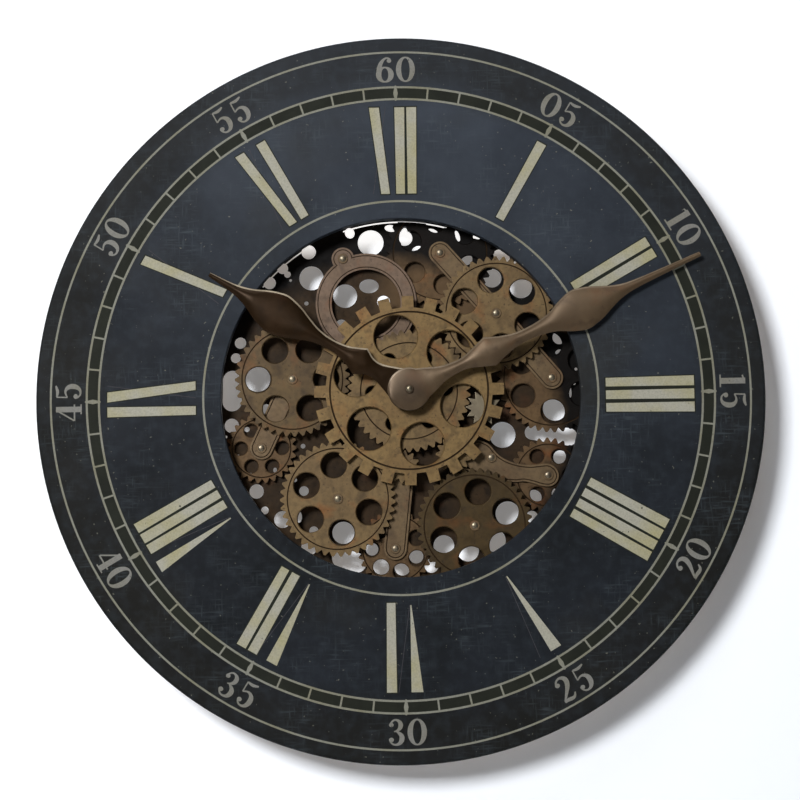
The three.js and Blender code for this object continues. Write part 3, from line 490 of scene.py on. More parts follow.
def buildStage():
    aim = Vector(mm(*shot["aim"]))
    tilt = math.radians(shot["below"])
    deselect()
    towardCamera = Vector((0, -math.cos(tilt), -math.sin(tilt)))
    bpy.ops.object.camera_add(location=aim + mm(shot["distance"]) * towardCamera)
    camera = bpy.context.object
    camera.data.lens = shot["lens"]
    camera.data.sensor_width = shot["sensor"]
    camera.rotation_euler = (aim - camera.location).to_track_quat("-Z", "Y").to_euler()
    camera.rotation_euler.rotate_axis("Z", math.radians(shot["roll"]))
    camera.data.clip_end = shot["clip"]
    bpy.context.scene.camera = camera

    for spec in lights:
        bpy.ops.object.light_add(type="AREA", location=spec["place"])
        lamp = bpy.context.object
        lamp.name = spec["name"]
        lamp.data.size = spec["size"]
        lamp.data.energy = spec["power"]
        lamp.rotation_euler = (-Vector(spec["place"])).to_track_quat("-Z", "Y").to_euler()

    # the wall shows only its room side and throws no shadow, so that the clock's back can be looked at
    colour = hexColour(wall["colour"])
    material, tree, shader, place = newMaterial("whiteWall", Roughness=0.9, Base_Color=colour)
    shader.inputs["Emission Color"].default_value = (1, 1, 1, 1)
    height = addNode(tree, "SeparateXYZ", out="Y", Vector=place)
    (low, high), (near, far) = mm(*wall["glowRise"]), mm(*wall["glowFade"])
    glow = addNode(tree, "MapRange", Value=height, From_Min=low, From_Max=high,
                   To_Min=wall["glow"][0], To_Max=wall["glow"][1])
    away = addNode(tree, "VectorMath", {"operation": "LENGTH"}, "Value", i0=place)
    behind = addNode(tree, "MapRange", Value=away, From_Min=near, From_Max=far, To_Min=1.0, To_Max=0.0)
    strength = addNode(tree, "Math", times, i0=glow, i1=behind)
    tree.links.new(strength, shader.inputs["Emission Strength"])
    clear = addNode(tree, "BsdfTransparent")
    rear = addNode(tree, "NewGeometry", out="Backfacing")
    shadow = addNode(tree, "LightPath", out="Is Shadow Ray")
    hidden = addNode(tree, "Math", {"operation": "MAXIMUM"}, i0=rear, i1=shadow)
    mix = addNode(tree, "MixShader", i0=hidden, i1=shader.outputs[0], i2=clear)
    tree.links.new(mix, tree.nodes["Material Output"].inputs["Surface"])
    bpy.ops.mesh.primitive_plane_add(size=wall["size"], location=(0, wall["gap"], 0),
                                     rotation=(math.pi / 2, 0, 0))
    backdrop = bpy.context.object
    backdrop.name = "wall"
    backdrop.data.materials.append(material)
    floorMaterial = newMaterial("paleFloor", Roughness=0.8, Base_Color=hexColour(wall["floorColour"]))[0]
    bpy.ops.mesh.primitive_plane_add(size=wall["size"], location=(0, 0, wall["floor"]))
    floor = bpy.context.object
    floor.name = "floor"
    floor.data.materials.append(floorMaterial)

    world = bpy.data.worlds.new("softRoom")
    bpy.context.scene.world = world
    world.use_nodes = True
    background = world.node_tree.nodes["Background"]
    background.inputs["Color"].default_value = room["colour"]
    background.inputs["Strength"].default_value = room["strength"]
    bpy.context.scene.view_settings.view_transform = "Standard"


buildStage()
print("camera, lights and wall")

# depths of the layers, from the wall
depth = {
    "plate": (20, 22), "rear": (24.3, 26.7), "arm": (27, 29), "side": (31.5, 34), "board": (35, 45),
    "centre": (36.5, 39.5), "hour": (47.5, 49.5), "minute": (52, 54),
}
arbor = (6.9, 5.6)


def fromArbor(x, z):
    return arbor[0] + x, arbor[1] + z


# dial board, turned with rounded edges; its back is bare
board = {"radius": 300, "opening": 148, "edge": 3.0, "lip": 0.8, "chamfer": 0.5}


def buildBoard():
    back, front = depth["board"]
    outer, inner, edge, lip, chamfer = (board[key] for key in ("radius", "opening", "edge", "lip", "chamfer"))
    profile = [(inner, back), (outer - chamfer, back), (outer, back + chamfer)]
    profile += [(outer - edge * (1 - x), front - edge * (1 - y)) for x, y in quarterArc(6)]
    profile += [(inner + lip * (1 - x), front - lip * (1 - y)) for x, y in reversed(quarterArc(3))]
    obj = spun(profile, (0, 0), 256, ring=True)
    finishPiece(obj, "dialBoard", "root", [paints["slate"], paints["fibre"]], ["dial_board"])
    for face in obj.data.polygons:
        # only the back face looks straight at the wall
        face.material_index = 1 if face.normal.y > 0.9 else 0


buildBoard()
print("dial board")

# the print stands proud of the paint, each layer by its own height, so that no two faces coincide
ink = {"proud": 0.12, "tick": 0.14, "lozenge": 0.16, "shade": 0.05, "under": 0.06, "hair": 0.08, "band": 0.04,
       "sunk": 0.02}
dialLines = {"outer": (287.5, 1.6), "trackOuter": (258, 1.7), "trackInner": (248, 1.7), "inner": (162.3, 1.7)}
minuteTick = {"width": 1.5, "lozenge": 3.8, "tip": 1.2, "over": 1.4}
numeral = {
    "foot": 168.5, "top": 241, "stem": 8.2, "footShare": 0.86, "lean": 0.96, "shade": 0.8, "over": 1,
    "hair": 0.5, "xFoot": 8.6, "xHair": (-1.5, 9.5), "vFoot": 4.2, "vPoint": 0.9, "vShare": 1.18,
    "vHair": (5.2, 15), "vLift": 2,
}

# strokes of the hour numerals by hour: plain stems, X stems and V stems, each across the radius in mm
hourStrokes = {
    1: {"i": [0]},
    2: {"i": [-5.3, 5.3]},
    3: {"i": [-9.3, 1.5, 12.3]},
    4: {"i": [-14.4, -4.3, 5.8, 15.9]},
    5: {"v": [-2.5]},
    6: {"v": [-9.4], "i": [11.3]},
    7: {"v": [-13.5], "i": [4.5, 14.8]},
    8: {"v": [-18], "i": [-1.5, 8.5, 18.5]},
    9: {"i": [-8.8], "x": [3.4]},
    10: {"x": [-4.2]},
    11: {"x": [-11.2], "i": [9]},
    12: {"x": [-18.2], "i": [2.9, 12.8]},
}


def inkShape(outline, proud):
    front = depth["board"][1]
    return slabOf(outline, front - ink["sunk"], front + proud)


def inkBar(footPlace, footWidth, topPlace, topWidth, low, high, proud):
    outline = [(footPlace - footWidth / 2, low), (footPlace + footWidth / 2, low),
               (topPlace + topWidth / 2, high), (topPlace - topWidth / 2, high)]
    return inkShape(outline, proud)


def turnClockwise(obj, degrees):
    # in the background transform.rotate turns the other way round its axis
    editAll(obj)
    bpy.ops.transform.rotate(value=math.radians(-degrees), orient_axis="Y", center_override=(0, 0, 0))
    bpy.ops.object.mode_set(mode="OBJECT")
    return obj


def hourNumerals():
    strong, faint, backs = [], [], []
    low, high, stem, hair = (numeral[key] for key in ("foot", "top", "stem", "hair"))
    thin = stem * numeral["footShare"]
    lean, wider = numeral["lean"], 2 * numeral["shade"]
    under, over = low - numeral["over"], high + numeral["over"]
    vLow = low + numeral["vLift"]
    for hour, strokes in hourStrokes.items():
        bars, hairs, shades = [], [], []
        stems = strokes.get("i", [])
        if stems:
            middle, span = (min(stems) + max(stems)) / 2, max(stems) - min(stems) + wider
            footWidth, topWidth = span * lean + thin, span + stem
            shades.append(inkBar(middle * lean, footWidth, middle, topWidth, under, over, ink["under"]))
        for u in stems:
            bars.append(inkBar(u * lean, thin, u, stem, low, high, ink["proud"]))
        for u in strokes.get("x", []):
            foot = u + numeral["xFoot"]
            hairFoot, hairTop = (u + away for away in numeral["xHair"])
            bars.append(inkBar(foot, thin, u, stem, low, high, ink["proud"]))
            shades.append(inkBar(foot, thin + wider, u, stem + wider, under, over, ink["shade"]))
            hairs.append(inkBar(hairFoot, hair, hairTop, hair, low, high, ink["hair"]))
        for u in strokes.get("v", []):
            foot, top = u + numeral["vFoot"], stem * numeral["vShare"]
            hairFoot, hairTop = (u + away for away in numeral["vHair"])
            bars.append(inkBar(foot, numeral["vPoint"], u, top, vLow, high, ink["proud"]))
            hairs.append(inkBar(hairFoot, hair, hairTop, hair, vLow, high, ink["hair"]))
        strong.append(turnClockwise(joinAll(bars), 30 * hour))
        if shades:
            backs.append(turnClockwise(joinAll(shades), 30 * hour))
        if hairs:
            faint.append(turnClockwise(joinAll(hairs), 30 * hour))
    finishPiece(joinAll(strong), "hourNumerals", "root", paints["cream"])
    finishPiece(joinAll(faint), "numeralHairlines", "root", paints["hair"])
    finishPiece(joinAll(backs), "numeralShade", "root", paints["band"])


def dialTrack():
    front = depth["board"][1]
    rings = []
    for radius, width in dialLines.values():
        outer, inner = radius + width / 2, radius - width / 2
        rings.append(flatRing(outer, inner, front - ink["sunk"], front + ink["proud"]))
    low, high = dialLines["trackInner"][0], dialLines["trackOuter"][0]
    foot, middle, top = low - minuteTick["over"], (low + high) / 2, high + minuteTick["over"]
    half, tip = minuteTick["lozenge"] / 2, minuteTick["tip"] / 2
    lozenge = [(-tip, foot), (tip, foot), (half, middle), (tip, top), (-tip, top), (-half, middle)]
    for minute in range(60):
        if minute % 5:
            tick = inkBar(0, minuteTick["width"], 0, minuteTick["width"], low, high, ink["tick"])
        else:
            tick = inkShape(lozenge, ink["lozenge"])
        rings.append(turnClockwise(tick, 6 * minute))
    finishPiece(joinAll(rings), "minuteTrack", "root", paints["line"])
    band = flatRing(high, low, front - ink["sunk"], front + ink["band"])
    finishPiece(band, "minuteBand", "root", paints["band"])


hourNumerals()
dialTrack()
print("numerals and minute track")

# minute figures, as the strokes of a broad pen in a box 14 wide and 22 tall: (across, up, half width) in mm
figure = {"box": 14, "height": 22, "advance": 15.2, "narrow": 12.6, "foot": 262, "flat": 0.045, "bold": 1.12,
          "wide": 1.13, "hairline": 0.6}


def penOval(x, z, across, upward, swell):
    # the pen is widest where the stroke runs upright
    points = []
    for k in range(20):
        out, up = math.cos(2 * math.pi * k / 20), math.sin(2 * math.pi * k / 20)
        points.append((x + across * out, z + upward * up, figure["hairline"] + swell * abs(out) ** 1.4))
    return points


figureStrokes = {
    "0": {"loops": [penOval(7, 11, 5.1, 10.2, 1.4)]},
    "1": {"lines": [[(7.2, 0.6, 1.9), (7.2, 11, 1.9), (7.2, 21.2, 1.9)], [(2.6, 0.6, 0.6), (11.8, 0.6, 0.6)],
                    [(7.0, 20.8, 0.7), (5, 19.4, 0.7), (3, 18.8, 0.6)]]},
    "2": {"lines": [[(2.6, 16.6, 0.7), (3.4, 19.4, 0.8), (6.6, 21.3, 0.8), (10.2, 19.8, 1.6),
                     (11.2, 16.2, 1.9), (9.6, 11.6, 1.7), (6.2, 7, 1.1), (2.8, 2.4, 0.7)],
                    [(2.4, 1.6, 0.8), (5, 2.5, 1.5), (8.6, 1.5, 1.6), (11.4, 2.4, 0.9), (12.4, 5.2, 0.5)]],
          "balls": [(3.7, 16.4, 1.8)]},
    "3": {"lines": [[(2.8, 17.4, 0.6), (4.6, 20.7, 0.7), (7.8, 21.2, 0.8), (10.5, 18.6, 1.7),
                     (10.3, 14.5, 1.7), (7.6, 11.9, 0.7), (5.6, 11.6, 0.5)],
                    [(7.4, 11.7, 0.6), (10.6, 9.6, 1.6), (11.5, 5.8, 2.0), (10, 2.1, 1.5), (7, 0.8, 0.8),
                     (4, 1.5, 0.7), (2.6, 4.0, 0.6)]],
          "balls": [(3.7, 17, 1.7), (3.6, 5, 1.8)]},
    "4": {"lines": [[(9, 21.2, 0.6), (5, 13.4, 0.6), (1.2, 6.4, 0.6)], [(1.0, 6.1, 0.65), (13, 6.1, 0.65)],
                    [(9.4, 21.2, 1.8), (9.4, 11, 1.8), (9.4, 0.6, 1.8)],
                    [(5.8, 0.6, 0.55), (13, 0.6, 0.55)]]},
    "5": {"lines": [[(3.4, 20.6, 0.7), (6.2, 19.7, 1.3), (9.2, 20.2, 1.2), (11.6, 21.3, 0.6)],
                    [(3.3, 20.8, 0.5), (3.1, 16, 0.5), (3.0, 11.8, 0.5)],
                    [(3.0, 11.8, 0.5), (5.4, 13.5, 0.7), (8.4, 13.4, 1.1), (10.9, 10.6, 1.8), (11.1, 6, 2.0),
                     (9.4, 2, 1.4), (6.4, 0.8, 0.8), (3.8, 1.7, 0.7), (2.6, 4.0, 0.6)]],
          "balls": [(3.6, 5, 1.8)]},
    "6": {"loops": [penOval(7, 6.8, 4.6, 6.1, 1.5)],
          "lines": [[(2.5, 6.8, 1.9), (2.6, 11, 1.9), (4, 16.6, 1.5), (7, 20.6, 0.8), (9.6, 21, 0.7),
                     (11, 19.4, 0.8)]],
          "balls": [(10.2, 18.4, 1.7)]},
}


def penStroke(points, loop):
    curve = bpy.data.curves.new("penStroke", "CURVE")
    curve.dimensions = "3D"
    spline = curve.splines.new("NURBS")
    spline.points.add(len(points) - 1)
    for point, (x, z, half) in zip(spline.points, points):
        point.co = (*mm(x, 0, z), 1)
        point.radius = half * figure["bold"]
    spline.order_u = 3
    spline.resolution_u = 4
    spline.use_cyclic_u = loop
    spline.use_endpoint_u = not loop
    # each point's radius multiplies this one
    curve.bevel_depth = mm(1)
    curve.bevel_resolution = 1
    curve.use_fill_caps = True
    obj = bpy.data.objects.new("penStroke", curve)
    bpy.context.scene.collection.objects.link(obj)
    pick(obj)
    bpy.ops.object.convert(target="MESH")
    return bpy.context.object


def figureMesh(strokes):
    made = [penStroke(points, False) for points in strokes.get("lines", [])]
    made += [penStroke(points, True) for points in strokes.get("loops", [])]
    for x, z, radius in strokes.get("balls", []):
        deselect()
        bpy.ops.mesh.primitive_uv_sphere_add(segments=16, ring_count=8, radius=mm(radius),
                                             location=mm(x, 0, z))
        made.append(settle(bpy.context.object))
    obj = joinAll(made)
    obj.scale = (1, figure["flat"], 1)
    settle(obj)
    faceOutward(obj)
    return obj


def minuteFigures():
    glyphs = {key: figureMesh(strokes) for key, strokes in figureStrokes.items()}
    made = []
    front = depth["board"][1]
    for five in range(1, 13):
        text = f"{5 * five:02d}"
        upright = five >= 9 or five <= 3
        widths = [figure["narrow" if digit == "1" else "advance"] for digit in text]
        starts = (-sum(widths) / 2, widths[0] - sum(widths) / 2)
        word = joinAll([copyOf(glyphs[digit], (start + (width - figure["box"]) / 2, 0))
                        for digit, start, width in zip(text, starts, widths)])
        middle = figure["foot"] + figure["height"] / 2
        word.location = mm(0, -front, -figure["height"] / 2)
        settle(word)
        word.scale = (figure["wide"], 1, 1)
        settle(word)
        if not upright:
            turnClockwise(word, 180)
        word.location = mm(0, 0, middle)
        settle(word)
        made.append(turnClockwise(word, 30 * five))
    for glyph in glyphs.values():
        bpy.data.objects.remove(glyph)
    finishPiece(joinAll(made), "minuteFigures", "root", paints["figure"])


minuteFigures()
print("minute figures")

# windows: x and z from the dial's centre and a radius; ovals also have a second radius and a turn;
# these few go through the top rear wheel and the plate behind it
topSlits = [(29.4, 140.6, 4.2, 1.7, -22), (49.8, 136, 1.9, 4.8, 16), (66.1, 134.6, 3.4, 2.3, -15),
            (15.2, 126, 4, 1.9, 26), (4.5, 137, 3.2, 7, -14)]
rimSlots = {"inner": 147.9, "outer": 149.3, "steps": 24, "arcs": ((74, 108), (121, 140))}
apart = 0.1  # windows that come nearer than this to one another go into separate cuts


def oval(window, back, front):
    x, z, across = window[:3]
    upward, turn = window[3:] if len(window) > 3 else (across, 0)
    obj = rod((0, 0), 1, back, front, 32 if across > 5 else 24)
    obj.scale = (across, 1, upward)
    settle(obj)
    obj.rotation_euler = (0, -math.radians(turn), 0)
    obj.location = mm(x, 0, z)
    return settle(obj)


def cutWindows(obj, windows, back, front):
    rounds = []
    for window in windows:
        reach = max(window[2:4])
        for cut in rounds:
            if all(math.hypot(window[0] - w[0], window[1] - w[1]) > reach + max(w[2:4]) + apart for w in cut):
                cut.append(window)
                break
        else:
            rounds.append([window])
    for cut in rounds:
        combine(obj, [oval(w, back - past, front + past) for w in cut], "DIFFERENCE")


def rimSlot(start, stop, back, front):
    steps = rimSlots["steps"]
    turns = [start + (stop - start) * i / steps for i in range(steps + 1)]
    outline = [polar(rimSlots["outer"], t) for t in turns]
    outline += [polar(rimSlots["inner"], t) for t in reversed(turns)]
    return slabOf(outline, back - past, front + past)


# wheels: pointed or square teeth, round holes, an engraved line near the rim;
# holes are given as (number, radius, circle, turn)
moduleMm = 2.18
holeFlare = 0.7
toothForm = {"addendum": 0.95, "dedendum": 1.4, "tipCut": 0.25, "rootFill": 0.95}
wheelForm = {"edge": 0.28, "sideBore": 2.5, "rearBore": 3.3}
sideLooks = {"left": (0, "shadedBronze"), "upper_right": (38, "bronze"), "lower_left": (36, "bronze"),
             "lower_right": (23.5, "shadedOliveBronze")}
wheels = {}
for sideName, (holeTurn, sidePaint) in sideLooks.items():
    wheels["side_wheel_" + sideName] = {
        "teeth": 43, "body": sideName + "_wheel", "joint": sideName + "_turn",
        "holes": (6, 10.7, 28, holeTurn), "line": 41.6, "paint": sidePaint}
wheels.update({
    "drive_wheel": {"teeth": 46, "body": "centre_train", "joint": "centre_turn", "holes": (6, 6, 30, 3),
                    "line": 40, "bore": 8.1},
    "idler_lower_left": {"teeth": 12, "body": "lower_left_idler", "joint": "lower_left_idler_turn"},
    "idler_lower_right": {"teeth": 13, "body": "lower_right_idler", "joint": "lower_right_idler_turn"},
    "rear_wheel_top": {"teeth": 41, "place": (27.9, 115.5), "holes": (6, 8.4, 26.5, 36), "line": 39},
    "rear_wheel_right": {"teeth": 41, "place": (118.6, 9.4), "holes": (6, 10, 28, 31), "line": 39.5},
    "rear_wheel_lower_right": {"teeth": 28, "place": (113.8, -71.5), "holes": (6, 6, 18, 59), "line": 25.6},
    "rear_wheel_bottom": {"teeth": 28, "place": (-13.5, -129.9), "holes": (7, 6.6, 19.5, 26), "line": 26.9},
    "rear_wheel_lower_left": {"teeth": 26, "place": (-123, -45.1), "holes": (6, 5.6, 17.2, 0), "line": 24.2},
})
jointPlace = {j["name"]: (j["pos_m"][0] * 1000, j["pos_m"][2] * 1000) for j in frame["joints"]}


def toothAngle(node, centre):
    # where the CAD wheel has a tooth, so that the dressed one stands in its neighbours' gaps as well
    corners = [v.co for v in frame["nodes"][node].data.vertices]
    tips = [(c.x * 1000 - centre[0], c.z * 1000 - centre[1]) for c in corners]
    x, z = max(tips, key=lambda p: math.hypot(*p))
    return math.degrees(math.atan2(z, x))


def pointedOutline(teeth, tooth, centre):
    pitch = teeth * moduleMm / 2
    tip, root = pitch + toothForm["addendum"] * moduleMm, pitch - toothForm["dedendum"] * moduleMm
    step = 360 / teeth
    outline = []
    for k in range(teeth):
        angle = tooth + k * step
        peak = polar(tip, angle, centre)
        for side in (-1, 1):
            valley = polar(root, angle + side * step / 2, centre)
            shares = (toothForm["rootFill"], toothForm["tipCut"])
            outline += [between(peak, valley, s) for s in (shares if side < 0 else reversed(shares))]
    return outline


def squareOutline(spec, centre):
    root, tip, rootShare, tipShare = (spec[key] for key in ("root", "tip", "rootShare", "tipShare"))
    outline = []
    step = 360 / spec["teeth"]
    for k in range(spec["teeth"]):
        for share, radius in ((-rootShare, root), (-tipShare, tip), (tipShare, tip), (rootShare, root)):
            outline.append(polar(radius, k * step + step * share / 2, centre))
    return outline


def cutDark(obj, groove):
    # what the groove leaves takes the second slot, the black patina
    for part in (obj, groove):
        dress(part, [paints["bronze"], paints["groove"]])
    for face in groove.data.polygons:
        face.material_index = 1
    combine(obj, [groove], "DIFFERENCE")


def engrave(obj, centre, radius, front, width=0.55, steps=120):
    deselect()
    bpy.ops.mesh.primitive_torus_add(
        major_radius=mm(radius), minor_radius=mm(width), major_segments=steps, minor_segments=10,
        location=mm(centre[0], -front, centre[1]), rotation=(math.pi / 2, 0, 0))
    groove = settle(bpy.context.object)
    cutDark(obj, groove)


def flaredHole(centre, radius, back, front, sides):
    wide = radius + holeFlare
    profile = [(0, back - past), (radius, back - past), (radius, front - holeFlare), (wide, front),
               (wide + past, front + past), (0, front + past)]
    return spun(profile, centre, sides)


def pierce(obj, centre, holes, bore, back, front):
    cutters = []
    if holes:
        number, radius, circle, turn = holes
        sides = 48 if radius > 12 else 36
        for k in range(number):
            place = polar(circle, turn + 360 * k / number, centre)
            cutters.append(flaredHole(place, radius, back, front, sides))
    cutters.append(rod(centre, bore, back - past, front + past, 24))
    combine(obj, cutters, "DIFFERENCE")


def buildWheel(name, spec):
    rear = "place" in spec
    centre = fromArbor(*spec["place"]) if rear else jointPlace[spec["joint"]]
    back, front = depth["rear" if rear else "side"]
    obj = slabOf(pointedOutline(spec["teeth"], toothAngle(name, centre), centre), back, front)
    bore = spec.get("bore", wheelForm["rearBore" if rear else "sideBore"])
    pierce(obj, centre, spec.get("holes"), bore, back, front)
    if name == "rear_wheel_top":
        cutWindows(obj, topSlits, back, front)
        combine(obj, [rimSlot(*rimSlots["arcs"][0], back, front)], "DIFFERENCE")
    soften(obj, wheelForm["edge"])
    if "line" in spec:
        engrave(obj, centre, spec["line"], front)
    look = paints[spec.get("paint", "rear" if rear else "bronze")]
    finishPiece(obj, name.replace("_", ""), spec.get("body", "root"),
                [look, paints["groove"]], [name])


centreWheel = {"teeth": 24, "tip": 78.4, "root": 68.8, "rootShare": 0.56, "tipShare": 0.46,
               "holes": (6, 18, 45.7, 43), "bore": 8.1, "edge": 0.45, "line": 65.2, "lineWidth": 0.75}


def buildCentreWheel():
    back, front = depth["centre"]
    spec = centreWheel
    obj = slabOf(squareOutline(spec, arbor), back, front)
    pierce(obj, arbor, spec["holes"], spec["bore"], back, front)
    soften(obj, spec["edge"], segments=3)
    engrave(obj, arbor, spec["line"], front, spec["lineWidth"], 160)
    looks = [paints["centre"], paints["groove"]]
    finishPiece(obj, "centreWheel", "centre_train", looks, ["centre_wheel"])


for wheelName, wheelSpec in wheels.items():
    buildWheel(wheelName, wheelSpec)
buildCentreWheel()
print("wheels:", len(wheels) + 1)

# arms and ring bracket: flat links with round ends and a dark line along their edges;
# a link runs from a rivet to a post
armForm = {"end": 9.4, "edge": 0.2, "line": 1.5, "lineWidth": 0.8, "lineDeep": 0.35}
ringBracket = {"centre": fromArbor(-34.4, 73.9), "outer": 42, "inner": 28.7, "footTurn": -60}
postPlaces = {side: jointPlace[side + "_turn"] for side in sideLooks}
for sideName in ("lower_left", "lower_right"):
    postPlaces["idler_" + sideName] = jointPlace[sideName + "_idler_turn"]
rivetPlaces = {name.removeprefix("rear_wheel_"): fromArbor(*spec["place"])
               for name, spec in wheels.items() if "place" in spec}
rivetPlaces["ring_lug"] = fromArbor(-53.2, 111.8)
rivetPlaces["ring_foot"] = polar((ringBracket["outer"] + ringBracket["inner"]) / 2, ringBracket["footTurn"],
                                 ringBracket["centre"])
rivetPlaces["arm_pad"] = fromArbor(67.1, -56.2)
arms = {
    "arm_upper_right": {"links": [("top", "upper_right"), ("right", "upper_right")]},
    "arm_lower_left": {"links": [("lower_left", "left")]},
    "arm_bottom": {"links": [("bottom", "idler_lower_left")]},
    "arm_lower_right": {"outline": [
        (44, -38.5), (54, -35.5), (63, -35.6), (70.2, -38.2), (73.9, -41), (77, -45), (81.4, -49.5),
        (88.2, -53.5), (96.7, -56.2), (106.1, -57.4), (114.5, -56.8), (121.5, -56.6), (127.2, -60.2),
        (129.6, -66.2), (127.6, -72), (122.6, -75.2), (116, -74.9), (108.8, -72.6), (100.9, -70.8),
        (93.1, -71.3), (82.2, -70), (70, -67.5), (58, -62.5), (46, -57), (37.5, -55.5), (33.5, -48),
        (36.5, -40.8)]},
}


def hullSlab(circles, back, front):
    deselect()
    for n, (centre, radius) in enumerate(circles):
        if n == 1:
            bpy.ops.object.mode_set(mode="EDIT")
        bpy.ops.mesh.primitive_circle_add(vertices=40, radius=mm(radius), rotation=(math.pi / 2, 0, 0),
                                          location=mm(centre[0], -back, centre[1]))
    if bpy.context.mode == "OBJECT":
        bpy.ops.object.mode_set(mode="EDIT")
    bpy.ops.mesh.select_all(action="SELECT")
    bpy.ops.mesh.convex_hull()
    bpy.ops.mesh.dissolve_limited(angle_limit=math.radians(0.5))
    bpy.ops.mesh.select_all(action="SELECT")
    bpy.ops.mesh.extrude_region_move(TRANSFORM_OT_translate={"value": mm(0, back - front, 0)})
    bpy.ops.object.mode_set(mode="OBJECT")
    obj = settle(bpy.context.object)
    faceOutward(obj)
    return obj


def smoothLoop(points, steps=4):
    # a closed curve through the points
    curve = []
    for i in range(len(points)):
        p0, p1, p2, p3 = (points[(i + k) % len(points)] for k in (-1, 0, 1, 2))
        for j in range(steps):
            t = j / steps
            weights = (-t + 2 * t ** 2 - t ** 3, 2 - 5 * t ** 2 + 3 * t ** 3,
                       t + 4 * t ** 2 - 3 * t ** 3, t ** 3 - t ** 2)
            curve.append(tuple(sum(w * p[c] for w, p in zip(weights, (p0, p1, p2, p3))) / 2 for c in (0, 1)))
    return curve


def shrunk(loop, inset):
    # a clockwise loop moved inward
    inner = []
    for i, (x, z) in enumerate(loop):
        (x0, z0), (x1, z1) = loop[i - 1], loop[(i + 1) % len(loop)]
        length = math.hypot(x1 - x0, z1 - z0)
        inner.append((x + inset * (z1 - z0) / length, z - inset * (x1 - x0) / length))
    return inner


def armShape(spec, inset, back, front):
    if "outline" in spec:
        return slabOf(shrunk(smoothLoop(spec["outline"]), inset), back, front)
    radius = armForm["end"] - inset
    shapes = [hullSlab([(rivetPlaces[start], radius), (postPlaces[stop], radius)], back, front)
              for start, stop in spec["links"]]
    for other in shapes[1:]:
        combine(shapes[0], [other], "UNION")
    return shapes[0]


def ringShape(spec, inset, back, front):
    ring = rod(spec["centre"], spec["outer"] - inset, back, front, 96)
    combine(ring, [rod(rivetPlaces["ring_lug"], armForm["end"] - inset, back, front, 40)], "UNION")
    hole = rod(spec["centre"], spec["inner"] + inset, back - past, front + past, 72)
    return combine(ring, [hole], "DIFFERENCE")


def buildLink(piece, node, spec, shape, paint):
    back, front = depth["arm"]
    obj = shape(spec, 0, back, front)
    # the line is a groove: the shape drawn in a little, less the same drawn in further
    low, inset = front - armForm["lineDeep"], armForm["line"]
    groove = shape(spec, inset, low, front + past)
    core = shape(spec, inset + armForm["lineWidth"], low - past, front + 2 * past)
    combine(groove, [core], "DIFFERENCE")
    cutDark(obj, groove)
    soften(obj, armForm["edge"])
    finishPiece(obj, piece, "root", [paints[paint], paints["groove"]], [node])


for armName, armSpec in arms.items():
    buildLink(armName.replace("_", ""), armName, armSpec, armShape, "arm")
buildLink("ringBracket", "ring_bracket", ringBracket, ringShape, "ring")
print("arms and ring bracket")

# rivets and posts, turned, with a washer and a small domed head
post = {"foot": 3.0, "shoulder": 4.6, "tip": 2.2, "play": 0.3, "washer": 4.2, "washerSide": 0.35,
        "washerTop": 0.6, "bevel": 0.3, "dome": 2.7, "domeRise": 0.9}


def headProfile(back):
    washer, top = post["washer"], back + post["washerTop"]
    profile = [(washer, back), (washer, back + post["washerSide"]), (washer - post["bevel"], top)]
    return profile + [(post["dome"] * out, top + post["domeRise"] * up) for out, up in quarterArc(4)]


def postProfile(kind, rearWheel):
    back, front = depth["plate"]
    armBack, armFront = depth["arm"]
    sideBack, sideFront = depth["side"]
    foot, shoulder, tip, play = (post[key] for key in ("foot", "shoulder", "tip", "play"))
    if kind == "rivet":
        shoulderTop = depth["rear"][0] - play if rearWheel else armBack
        footTop, tipTop = armBack, armFront + play
    else:
        shoulderTop, footTop, tipTop = armBack, sideBack - play, sideFront + play
    stem = [(0, back), (foot, back), (foot, front), (shoulder, front), (shoulder, shoulderTop),
            (foot, shoulderTop), (foot, footTop), (tip, footTop), (tip, tipTop)]
    return stem + headProfile(tipTop)


def baredDome(obj, looks, centre, radius):
    # the dome has the first look, and all that is further out has the second
    dress(obj, looks)
    for face in obj.data.polygons:
        away = math.hypot(face.center.x - mm(centre[0]), face.center.z - mm(centre[1]))
        face.material_index = 1 if away > mm(radius) else 0


def buildPosts():
    kinds = (("rivet", True), ("rivet", False), ("post", False))
    forms = {kind: spun(postProfile(*kind), (0, 0), 28) for kind in kinds}
    looks = [paints["brass"], paints["arm"]]
    for form in forms.values():
        baredDome(form, looks, (0, 0), post["dome"])
    for name, place in rivetPlaces.items():
        node, form = "rivet_" + name, forms[("rivet", f"rear_wheel_{name}" in frame["nodes"])]
        finishPiece(copyOf(form, place), node.replace("_", ""), "root", looks, [node])
    for name, place in postPlaces.items():
        node = name.replace("idler", "idler_post") if "idler" in name else "wheel_post_" + name
        obj = copyOf(forms[("post", False)], place)
        finishPiece(obj, node.replace("_", ""), "root", looks, [node])
    for form in forms.values():
        bpy.data.objects.remove(form)


buildPosts()
print("rivets and posts")

